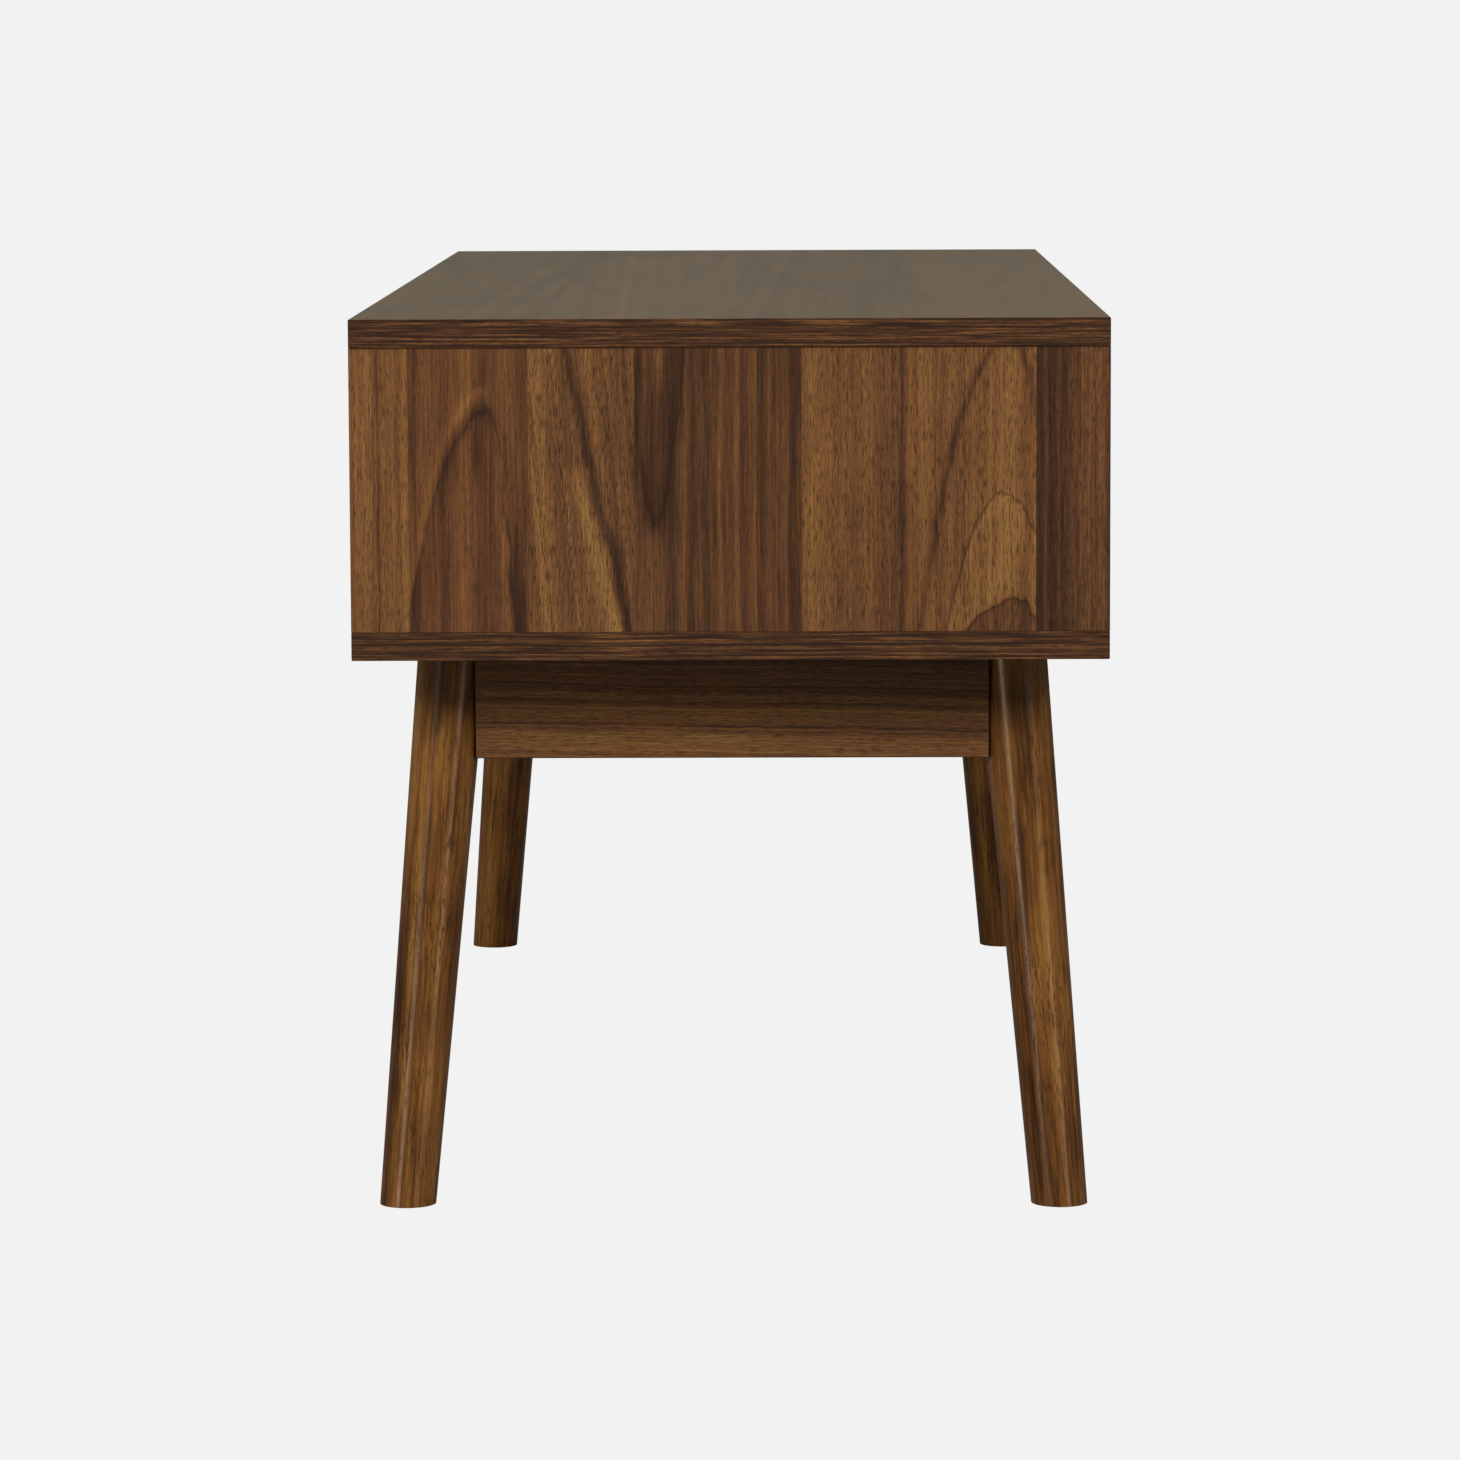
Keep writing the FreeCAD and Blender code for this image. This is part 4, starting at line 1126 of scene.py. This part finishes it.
def plain_leaves(total: float, count: int, shift: float, tone: float = 0.5,
                 force: float = 1.0) -> Tuple[Leaf, ...]:
    """Leaves of one flitch side by side, alternately turned over like the pages of a book.

    Args:
        total: Width of the panel, metres.
        count: Number of leaves.
        shift: Place of the first one in the timber.
        tone: Tone of them all.
        force: Contrast of their figure.

    Returns:
        The leaves, each with two or three arches and a dark streak.
    """
    leaves = []
    width = total / count
    for index in range(count):
        turned = -1.0 if index % 2 else 1.0
        middle = (index + 0.5 + 0.12 * turned) * width
        marks = (
            Arch(middle, 0.16 + 0.05 * math.sin(shift + index), 260.0, 380.0, 3.5 * MM,
                 -0.30 * force, 0.06, -0.10 * force),
            Arch(middle, 0.34 + 0.05 * math.sin(2.0 * shift + index), 200.0, 300.0, 2.5 * MM,
                 -0.22 * force),
            Arch(middle, 0.62 + 0.07 * math.cos(shift + index), 160.0, 260.0, 4.0 * MM,
                 -0.26 * force),
            Streak(middle + 0.34 * turned * width, 4.0 * MM, -0.30 * force, 0.012 * turned),
        )
        leaves.append(Leaf((index + 1) * width, tone + 0.06 * force * math.sin(3.0 * index + shift),
                           shift + 7.3 * index, 0.75 * force, 0.9, 100.0, 0.02 * turned, marks))
    return tuple(leaves)


@dataclass
class Case:
    """Boards and panels of the case."""

    frame: Mapping[str, object]

    def build(self) -> None:
        """Give every board its veneer."""
        low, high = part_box("top_board")
        panel_low, panel_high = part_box("end_panel_right")
        half_width = high.y
        height = panel_high.z - panel_low.z
        # Painted shadow in the joints: strong under the overhanging top board, faint at the bottom
        # board.
        seam_shadows = (SeamShadow(height, 0.6 * MM, 1.0), SeamShadow(0.0, 0.25 * MM, 0.35))
        end = Veneer("walnut_end", Axis.Z, Axis.Y, -half_width, panel_low.z,
                     self.end_leaves(), seam_shadows=seam_shadows)
        dress(self.frame, ("end_panel_right", "end_panel_left"), end.material())
        top = Veneer("walnut_top", Axis.X, Axis.Y, -half_width, low.x,
                     plain_leaves(2.0 * half_width, 4, 5.0, 0.46, 0.6), coat=1.0, rough=0.50)
        dress(self.frame, ("top_board", "bottom_board"), top.material())
        face = Veneer("walnut_face", Axis.X, Axis.Z, panel_low.z, low.x,
                      plain_leaves(height, 1, 2.0, 0.5))
        dress(self.frame, ("drawer_front", "back_panel"), face.material())
        wall = Veneer("walnut_wall", Axis.Z, Axis.Y, -half_width, panel_low.z,
                      plain_leaves(2.0 * half_width, 3, 9.0, 0.48))
        dress(self.frame, ("centre_divider",), wall.material())

    @staticmethod
    def end_leaves() -> Tuple[Leaf, ...]:
        """Leaves of the end panels, front to back.

        Returns:
            Six leaves, each with its own arches and streaks.
        """
        return (
            Leaf(31 * MM, 0.72, 3.3, 0.55, 1.0, 150.0, 0.0, (
                Streak(14.5 * MM, 0.8 * MM, -0.30),
                Streak(12.0 * MM, 0.4 * MM, -0.20),
                Streak(24.0 * MM, 5.0 * MM, -0.10))),
            Leaf(94 * MM, 0.52, 8.1, 0.50, 0.75, 90.0, 0.0, (
                Arch(71 * MM, 116 * MM, 62.0, 420.0, 3.2 * MM, -0.26, 20 * MM, -0.20, False,
                     84 * MM),
                Arch(70 * MM, 126 * MM, 66.0, 900.0, 2.4 * MM, 0.20),
                Streak(34 * MM, 2.6 * MM, -0.16),
                Streak(67 * MM, 2.2 * MM, -0.26, 0.0, 84 * MM, 102 * MM),
                Streak(88.5 * MM, 1.8 * MM, -0.20, -0.02, BELOW, 55 * MM),
                Streak(85 * MM, 1.3 * MM, 0.16, -0.06, 30 * MM, 90 * MM)), 0.45),
            Leaf(150 * MM, 0.62, 21.7, 0.60, 1.25, 120.0, 0.10, (
                Streak(101 * MM, 7.0 * MM, 0.22),
                Streak(141 * MM, 6.0 * MM, 0.34, -0.26, BELOW, 85 * MM),
                Streak(146 * MM, 3.0 * MM, -0.38, -0.21),
                Streak(147 * MM, 4.6 * MM, -0.22, -0.20, BELOW, 55 * MM),
                Streak(139 * MM, 4.0 * MM, -0.10, 0.0, 90 * MM)), 0.0),
            Leaf(238 * MM, 0.35, 35.2, 0.55, 0.7, 150.0, 0.0, (
                Arch(162 * MM, 57 * MM, 380.0, 420.0, 3.4 * MM, -0.18, 70 * MM, -0.20, True),
                Streak(163 * MM, 4.5 * MM, 0.32, 0.0, 132 * MM),
                Streak(152 * MM, 2.0 * MM, 0.20, 0.02, 60 * MM),
                Streak(158 * MM, 9.0 * MM, 0.18, 0.0, BELOW, 52 * MM),
                Streak(176 * MM, 1.6 * MM, 0.22, 0.015),
                Streak(181 * MM, 2.2 * MM, -0.12),
                Streak(195 * MM, 1.4 * MM, 0.16),
                Streak(204 * MM, 1.8 * MM, 0.16),
                Streak(213 * MM, 2.4 * MM, 0.12),
                Streak(218 * MM, 3.6 * MM, -0.10),
                Streak(233 * MM, 4.0 * MM, -0.16)), 0.3),
            Leaf(361 * MM, 0.64, 47.9, 0.45, 1.15, 120.0, 0.0, (
                Streak(264 * MM, 24.0 * MM, -0.06),
                Streak(244 * MM, 5.0 * MM, 0.12),
                Streak(255 * MM, 4.0 * MM, 0.10),
                Streak(290 * MM, 2.8 * MM, -0.34),
                Streak(284 * MM, 4.0 * MM, -0.12),
                Streak(300 * MM, 3.0 * MM, 0.12),
                Arch(346 * MM, 153 * MM, 70.0, 165.0, 2.2 * MM, -0.32),
                Arch(345 * MM, 75 * MM, 80.0, 100.0, 0.8 * MM, -0.34, 40 * MM, 0.20),
                Arch(346 * MM, 17 * MM, 35.0, 35.0, 1.1 * MM, -0.26, 30 * MM, -0.36),
                Streak(345 * MM, 16.0 * MM, 0.14, 0.0, 60 * MM),
                Streak(334 * MM, 6.0 * MM, 0.20, 0.25, 10 * MM, 60 * MM))),
            Leaf(400 * MM, 0.36, 61.4, 0.70, 1.1, 150.0, 0.0, (
                Streak(363 * MM, 1.8 * MM, -0.22),
                Streak(371 * MM, 8.0 * MM, -0.20),
                Streak(388 * MM, 4.0 * MM, 0.14),
                Streak(397 * MM, 2.0 * MM, 0.08)), 0.15),
        )


@dataclass
class LegFrame:
    """Legs, aprons and corner blocks under the case, with their fixings."""

    frame: Mapping[str, object]
    steel: bpy.types.Material
    crown: Tuple[float, float] = (415.5 * MM, 151.0 * MM)   # leg axis under the case
    foot: Tuple[float, float] = (457.5 * MM, 176.0 * MM)    # leg axis on the floor
    height: float = 300.0 * MM
    pitch: float = 1.25 * MM                                # of the hanger bolts' thread
    thread_depth: float = 0.45 * MM
    washer_hole: float = 3.2 * MM                           # radius
    nut_hole: float = 3.1 * MM                              # radius

    def build(self) -> None:
        """Dress the timber and make the fixings."""
        self.dress_legs()
        self.dress_aprons()
        block = PlainWood("beech_block", Axis.Z, tint(196, 160, 118), tint(158, 116, 78), 0.35)
        dress(self.frame, ["corner_block_" + name for name in CORNERS], block.material())
        nylon = Moulded("glide_nylon", tint(214, 208, 196), tint(168, 160, 146), 0.5).material()
        remake(self.frame, "foot_glides", "turned", nylon, "table", "glide_plastic",
               self.add_glide)
        for node, look, add, flat in (("hanger_bolts", "threaded", self.add_bolt, False),
                                      ("washers", "pressed", self.add_washer, True),
                                      ("hanger_nuts", "chamfered", self.add_nut, True),
                                      ("block_screws", "pan_head", add_pan_screw, False),
                                      ("frame_screws", "pan_head", add_pan_screw, False)):
            remake(self.frame, node, look, self.steel, "table", "screw_steel", add, flat)

    def dress_legs(self) -> None:
        """Give each leg walnut of its own, with the rings' centre near the leg or outside it."""
        hearts = {"front_left": (0.03, 0.02), "front_right": (0.012, -0.030),
                  "back_left": (-0.02, 0.03), "back_right": (-0.010, 0.028)}
        for index, (name, (east, north)) in enumerate(CORNERS.items()):
            foot = (east * self.foot[0], north * self.foot[1])
            lean = (-east * (self.foot[0] - self.crown[0]) / self.height,
                    -north * (self.foot[1] - self.crown[1]) / self.height)
            turned = TurnedWalnut("walnut_leg_" + name, foot, lean, hearts[name], 10.0 * index)
            dress(self.frame, ["leg_" + name], turned.material())

    def dress_aprons(self) -> None:
        """Give each apron straight-grained walnut along its length, with painted shade darkening
        its top edge under the case.
        """
        for index, (name, along) in enumerate((("right", Axis.Y), ("left", Axis.Y),
                                               ("front", Axis.X), ("back", Axis.X))):
            low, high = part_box("apron_" + name)
            # Painted shade: the streak held in heart darkens the apron's top edge where the case
            # above shades it; it is not heartwood.
            heart = Streak(high.z - low.z, 16.0 * MM, -0.34)
            leaf = Leaf(1.0, 0.70, 3.0 + 5.0 * index, 1.15, 1.0, 130.0, 0.02, (heart,), 0.1)
            apron = Veneer("walnut_apron_" + name, along, Axis.Z, low.z, low[along.value], (leaf,),
                           edge_tone=0.46, rough=0.40)
            dress(self.frame, ["apron_" + name], apron.material())

    @staticmethod
    def add_glide(skin: Skin, solid: Solid) -> None:
        """Nylon glide: a disc with a rounded rim, on a pin in the leg's end.

        Args:
            skin: Where it is added.
            solid: The CAD glide.
        """
        rim = solid.radius
        skin.add_turned((
            (0.0, 0.0), (rim - 1.2 * MM, 0.0), (rim - 0.5 * MM, 0.08 * MM),
            (rim - 0.1 * MM, 0.35 * MM), (rim, 0.65 * MM), (rim - 0.15 * MM, 0.92 * MM),
            (rim - 0.4 * MM, 1.0 * MM), (1.2 * MM, 1.0 * MM), (1.2 * MM, 11.0 * MM),
            (0.0, 13.0 * MM)),
            np.array([solid.centre[0], solid.centre[1], 0.0]), np.array([0.0, 0.0, 1.0]), 48)

    def add_bolt(self, skin: Skin, solid: Solid) -> None:
        """Hanger bolt: a rod whose radius follows a screw thread, with rounded ends.

        At height h and turn t the radius is r - depth * (1 - cos(2 pi (h / pitch - t / 2 pi))) / 2,
        less a quarter circle's fall at each end.

        Args:
            skin: Where it is added.
            solid: The CAD bolt.
        """
        turns = circle(16)
        climb = np.linspace(0.0, solid.length, int(solid.length / (self.pitch / 5.0)))[:, None]
        phase = 2.0 * math.pi * climb / self.pitch - turns
        radius = solid.radius - self.thread_depth * (1.0 - np.cos(phase)) / 2.0
        end = np.minimum(climb, solid.length - climb)
        fall = np.clip(1.0 - end / (1.2 * MM), 0.0, 1.0)
        radius = radius - 0.8 * MM * (1.0 - np.sqrt(1.0 - fall * fall))
        height = np.repeat(climb - solid.length / 2.0, len(turns), 1)
        local = round_points(radius, turns, height)
        skin.add_grid(local @ turned_basis(solid.axis) + solid.centre,
                      solid.centre - solid.axis * solid.length / 2.0, solid.top)

    def add_washer(self, skin: Skin, solid: Solid) -> None:
        """Pressed washer: a flat section with soft corners, turned about its axis.

        Args:
            skin: Where it is added.
            solid: The CAD washer.
        """
        half = solid.length / 2.0
        soft = min(0.35 * MM, half * 0.6)
        section = rounded(((self.washer_hole, -half, soft * 0.5), (solid.radius, -half, soft),
                           (solid.radius, half, soft), (self.washer_hole, half, soft * 0.5)), 3)
        turns = circle(40)
        height = np.repeat(section[None, :, 1], len(turns), 0)
        skin.add_hoop(round_points(section[:, 0], turns[:, None], height), solid)

    def add_nut(self, skin: Skin, solid: Solid) -> None:
        """Six-sided nut: its section carried round its axis.

        The outer radius at turn t is flat / cos(t folded into 60 degrees), and the corners are
        cut by a cone at both faces.

        Args:
            skin: Where it is added.
            solid: The CAD nut.
        """
        half = solid.length / 2.0
        turns = circle(72)
        flat = solid.radius * math.cos(math.pi / 6.0)
        outer = flat / np.cos(np.mod(turns, math.pi / 3.0) - math.pi / 6.0)
        kept = np.minimum(outer, flat + 0.1 * MM)
        fall = (outer - kept) * 0.6
        face = np.full(len(turns), half)
        hole = np.full(len(turns), self.nut_hole)
        levels = np.stack([-face, fall - half, half - fall, face, face, -face], 1)
        rim = kept - 0.15 * MM
        radii = np.stack([rim, outer, outer, rim, hole, hole], 1)
        skin.add_hoop(round_points(radii, turns[:, None], levels), solid)


def add_recessed(skin: Skin, rings: Sequence[Tuple[float, float, float]], head: float,
                 seat: np.ndarray, axis: np.ndarray, recess: Tuple[float, float, float],
                 sides: int) -> None:
    """Screw turned about its axis, with a cross recess in its head.

    The recess is two crossed slots. It lowers a point by
    depth * sqrt(1 - (distance across / half width) squared), less and less towards its reach.

    Args:
        skin: Where it is added.
        rings: Radius, height over the seat and share of the recess, from the tip to the top.
        head: Radius of the head.
        seat: Where the height is 0.
        axis: Unit direction towards the head.
        recess: Depth, reach as a share of the head's radius, and height of its floor.
        sides: Points in a ring.
    """
    depth, reach, floor = recess
    turns = circle(sides)
    table = np.array(rings)
    radius = table[:, :1] * np.ones(sides)
    across = np.minimum(np.abs(np.sin(turns)), np.abs(np.cos(turns))) * radius
    slot = np.clip(1.0 - (across / (0.17 * head)) ** 2, 0.0, 1.0)
    fade = np.clip((reach * head - radius) / (0.4 * head), 0.0, 1.0)
    local = round_points(radius, turns, table[:, 1:2] - depth * np.sqrt(slot) * fade * table[:, 2:])
    skin.add_grid(local @ turned_basis(axis) + seat, seat + axis * rings[0][1], seat + axis * floor)


def add_pan_screw(skin: Skin, solid: Solid, height: float = 2.5 * MM) -> None:
    """Screw whose head's top is a dome: top - rise * (r / head) ** 4.

    Args:
        skin: Where it is added.
        solid: The CAD screw.
        height: Height of its head.
    """
    head = solid.radius
    tip = solid.length - height
    rings = [(0.25 * SHANK, -tip, 0.0), (SHANK * 0.8, -tip + 2.0 * MM, 0.0),
             (SHANK, -tip + 4.0 * MM, 0.0), (SHANK, -0.01 * MM, 0.0),
             (head - 0.2 * MM, 0.0, 0.0), (head, 0.25 * MM, 0.0)]
    for share in (1.0, 0.97, 0.9, 0.75, 0.6, 0.5, 0.42, 0.34, 0.26, 0.18, 0.1, 0.04):
        rings.append((head * share, height - 1.1 * MM * share ** 4, 1.0))
    add_recessed(skin, rings, head, solid.top - solid.axis * height, solid.axis,
                 (1.5 * MM, 0.55, height - 1.5 * MM), 32)


def add_low_pan_screw(skin: Skin, solid: Solid) -> None:
    """Pan-headed screw with the thin head that passes inside a slide."""
    add_pan_screw(skin, solid, 1.8 * MM)


def add_sunk_screw(skin: Skin, solid: Solid) -> None:
    """Countersunk screw whose low oval head stands 0.25 mm proud.

    Args:
        skin: Where it is added.
        solid: The CAD screw.
    """
    head = solid.radius
    tip = solid.length
    proud = 0.25 * MM
    rings = [(0.25 * SHANK, -tip, 0.0), (SHANK, -tip + 4.0 * MM, 0.0), (SHANK, -1.8 * MM, 0.0),
             (head - 0.05 * MM, -0.05 * MM, 0.0), (head, 0.02 * MM, 0.0)]
    for share in (0.95, 0.8, 0.6, 0.5, 0.4, 0.3, 0.2, 0.1, 0.04):
        rings.append((head * share, proud * (1.0 - share ** 2) + 0.02 * MM, 1.0))
    add_recessed(skin, rings, head, solid.top, solid.axis, (1.2 * MM, 0.6, -0.93 * MM), 28)


@dataclass
class CaseFittings:
    """Cams, their covers, bolts and dowels of the case's joints."""

    frame: Mapping[str, object]
    steel: bpy.types.Material
    zinc: bpy.types.Material

    def build(self) -> None:
        """Make the covers and dress the rest."""
        cap = Moulded("cover_brown", tint(92, 62, 42), tint(112, 82, 60), 0.45).material()
        discs = solids_of(self.frame["nodes"]["cam_discs"], flat=True)
        centres = np.array([disc.centre for disc in discs])
        skin = Skin()
        for solid in solids_of(self.frame["nodes"]["cam_covers"], flat=True):
            nearest = centres[np.argmin(np.linalg.norm(centres - solid.centre, axis=1))]
            outward = solid.axis if solid.axis @ (solid.centre - nearest) > 0.0 else -solid.axis
            self.add_cover(skin, solid, outward)
        skin.piece("cam_covers_domed", cap, "table", "cover_plastic", ["cam_covers"])
        dress(self.frame, ("cam_discs",), self.zinc)
        dress(self.frame, ("cam_bolts",), self.steel)
        dowel = PlainWood("beech_dowel", Axis.Z, tint(204, 170, 128), tint(170, 130, 90), 0.35)
        dress(self.frame, ("dowels",), dowel.material())

    @staticmethod
    def add_cover(skin: Skin, solid: Solid, outward: np.ndarray) -> None:
        """Shallow domed cap with a rounded rim.

        At share s of the radius its height is
        h * (0.25 + 0.45 * (1 - s ** 8) + 0.3 * (1 - s ** 2)).

        Args:
            skin: Where it is added.
            solid: The CAD cover.
            outward: Unit direction away from the cam.
        """
        base = solid.centre - outward * solid.length / 2.0
        rim = solid.radius
        shares = np.array([1.0, 0.985, 0.95, 0.9, 0.8, 0.65, 0.45, 0.25, 0.1])
        heights = solid.length * (0.25 + 0.45 * (1.0 - shares ** 8) + 0.3 * (1.0 - shares ** 2))
        profile = [(0.0, 0.0), (rim - 0.2 * MM, 0.0), (rim, 0.12 * MM)]
        profile += list(zip((rim * shares).tolist(), heights.tolist()))
        profile.append((0.0, solid.length))
        skin.add_turned(profile, base, outward, 40)


@dataclass
class Drawer:
    """Drawer box and its fixings."""

    frame: Mapping[str, object]
    steel: bpy.types.Material
    zinc: bpy.types.Material
    pale: Colour = tint(206, 176, 134)
    dark: Colour = tint(170, 134, 92)

    def build(self) -> None:
        """Dress the box's boards and make its screws."""
        side = PlainWood("birch_side", Axis.Y, self.pale, self.dark)
        dress(self.frame, ("drawer_side_left", "drawer_side_right"), side.material())
        back = PlainWood("birch_back", Axis.X, self.pale, self.dark)
        dress(self.frame, ("drawer_back",), back.material())
        bottom = PlainWood("birch_plywood", Axis.X, tint(212, 184, 144), tint(182, 148, 106),
                           plies=1.25 * MM)
        dress(self.frame, ("drawer_bottom",), bottom.material())
        dress(self.frame, ("drawer_cams",), self.zinc)
        dress(self.frame, ("drawer_cam_bolts",), self.steel)
        remake(self.frame, "drawer_back_screws", "pan_head", self.steel, "drawer", "screw_steel",
               add_pan_screw)


@dataclass
class Slides:
    """Ball-bearing slides: rolled members, cages, balls, screws and rubber stops."""

    frame: Mapping[str, object]
    steel: bpy.types.Material
    sheet: float = 1.2 * MM
    near: float = 30.0 * MM          # screws within this of a member are its own

    def build(self) -> None:
        """Make the members and dress the rest."""
        rolled = Metal("slide_zinc_plate", tint(186, 190, 194), 0.34, lines=0.5).material()
        ball = Metal("ball_polished", tint(214, 216, 218), 0.12).material()
        cage = Moulded("cage_nylon", tint(58, 58, 60), tint(74, 74, 75), 0.42).material()
        rubber = Moulded("stop_rubber_black", tint(30, 30, 31), tint(58, 57, 56), 0.7).material()
        for side in ("left", "right"):
            self.build_member("outer", side, "table", rolled)
            self.build_member("middle", side, "slide_middle_" + side, rolled)
            self.build_member("inner", side, "drawer", rolled)
            dress(self.frame, ("ball_cage_outer_" + side, "ball_cage_inner_" + side), cage)
            dress(self.frame, ("balls_outer_" + side, "balls_inner_" + side), ball)
        self.build_stops(rubber)
        remake(self.frame, "slide_screws_case", "sunk", self.steel, "table", "screw_steel",
               add_sunk_screw)
        remake(self.frame, "slide_screws_drawer", "pan_head", self.steel, "drawer", "screw_steel",
               add_low_pan_screw)

    def build_stops(self, rubber: bpy.types.Material) -> None:
        """Rubber stops: a block with rounded corners, drawn in at its two ends.

        Its rings are one rounded outline in Y and Z, carried along X. The first and the last one
        are scaled about the middle, so that they are smaller by the soft edge all round.

        Args:
            rubber: Their finish.
        """
        node = "slide_stops"
        low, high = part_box(node)
        solids = solids_of(self.frame["nodes"][node])
        half_x = high.x - max(float(solid.centre[0]) for solid in solids)
        half = np.array([high.y - low.y, high.z - low.z]) / 2.0
        soft, corner = 0.5 * MM, 1.2 * MM
        outline = rounded([(-half[0], -half[1], corner), (half[0], -half[1], corner),
                           (half[0], half[1], corner), (-half[0], half[1], corner)])
        drawn_in = outline * (1.0 - soft / half)
        rings = np.stack([drawn_in, outline, outline, drawn_in])
        along = np.array([-half_x, soft - half_x, half_x - soft, half_x])
        across = np.broadcast_to(along[:, None, None], rings.shape[:2] + (1,))
        block = np.concatenate([across, rings], -1)
        skin = Skin()
        for solid in solids:
            skin.add_grid(block + solid.centre, flat_ends=True)
        skin.piece("slide_stops_rounded", rubber, "table", "stop_rubber", [node])

    def build_member(self, layer: str, side: str, body: str, material: bpy.types.Material) -> None:
        """One rolled member: its section with rounded bends, carried along Y and drilled.

        The section is a C whose web is at low X on the left slide and at high X on the right one.
        The inner member opens the other way.

        Args:
            layer: "outer", "middle" or "inner".
            side: "left" or "right".
            body: The body that it rides on.
            material: Its finish.
        """
        name = "slide_%s_%s" % (layer, side)
        low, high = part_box(name)
        thick = self.sheet
        bend, inside, tip = 2.2 * MM, 1.0 * MM, 0.45 * MM
        opens_right = (side == "left") != (layer == "inner")
        width = high.x - low.x
        corners = [(0.0, low.z, bend), (width, low.z, tip), (width, low.z + thick, tip),
                   (thick, low.z + thick, inside), (thick, high.z - thick, inside),
                   (width, high.z - thick, tip), (width, high.z, tip), (0.0, high.z, bend)]
        if opens_right:
            section = [(low.x + x, z, radius) for x, z, radius in corners]
        else:
            section = [(high.x - x, z, radius) for x, z, radius in reversed(corners)]
        outline = rounded(section, 5)
        stations = np.array([high.y, low.y])
        grid = np.stack([np.repeat(outline[None, :, 0], 2, 0),
                         np.repeat(stations[:, None], len(outline), 1),
                         np.repeat(outline[None, :, 1], 2, 0)], -1)
        skin = Skin()
        skin.add_grid(grid, flat_ends=True)
        piece = skin.piece(name + "_rolled", material, body, "slide_steel", [name])
        self.drill(piece, layer, side)

    def drill(self, piece: bpy.types.Object, layer: str, side: str) -> None:
        """Cut the member's screw or access holes through its web.

        Args:
            piece: The rolled member.
            layer: "outer", "middle" or "inner"; the outer one is left whole.
            side: "left" or "right".
        """
        node = "slide_screws_drawer" if layer == "inner" else "slide_screws_case"
        radius = {"outer": 0.0, "middle": 5.5 * MM, "inner": 2.3 * MM}[layer]
        if not radius:
            return
        low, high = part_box("slide_%s_%s" % (layer, side))
        skin = Skin()
        count = 0
        for solid in solids_of(self.frame["nodes"][node]):
            if abs(solid.centre[0] - (low.x + high.x) / 2.0) > self.near:
                continue
            start = np.array([low.x - 1.0 * MM, solid.centre[1], solid.centre[2]])
            reach = high.x - low.x + 2.0 * MM
            skin.add_turned(((0.0, 0.0), (radius, 0.0), (radius, reach), (0.0, reach)), start,
                            np.array([1.0, 0.0, 0.0]), 40)
            count += 1
        cutter_mesh = bpy.data.meshes.new("cutter")
        cutter_mesh.from_pydata(np.concatenate(skin.points).tolist(), [], skin.faces)
        cutter = bpy.data.objects.new("cutter", cutter_mesh)
        bpy.context.scene.collection.objects.link(cutter)
        modifier = piece.modifiers.new("holes", "BOOLEAN")
        modifier.object = cutter
        modifier.operation = "DIFFERENCE"
        modifier.solver = "EXACT"
        bpy.context.view_layer.update()
        graph = bpy.context.evaluated_depsgraph_get()
        drilled = bpy.data.meshes.new_from_object(piece.evaluated_get(graph))
        drilled.name = piece.name
        piece.modifiers.clear()
        piece.data = drilled
        drilled.polygons.foreach_set("use_smooth", np.ones(len(drilled.polygons), dtype=bool))
        drilled.set_sharp_from_angle(angle=math.radians(30.0))
        bpy.data.objects.remove(cutter)
        LOG.info("%s has %d holes", piece.name, count)


def main() -> None:
    """Build the table's looks and its studio."""
    logging.basicConfig(level=logging.INFO, format="%(name)s: %(message)s")
    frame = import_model()
    steel = Metal("screw_zinc_plate", tint(176, 178, 176), 0.36).material()
    zinc = Metal("cam_cast_zinc", tint(158, 158, 156), 0.46, cast=0.8).material()
    Case(frame).build()
    CaseFittings(frame, steel, zinc).build()
    LegFrame(frame, steel).build()
    Drawer(frame, steel, zinc).build()
    Slides(frame, steel).build()
    Studio().build()
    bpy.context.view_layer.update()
    for name in sorted(frame["nodes"]):
        LOG.info("dressed %s", name)


if __name__ == "__main__":
    main()
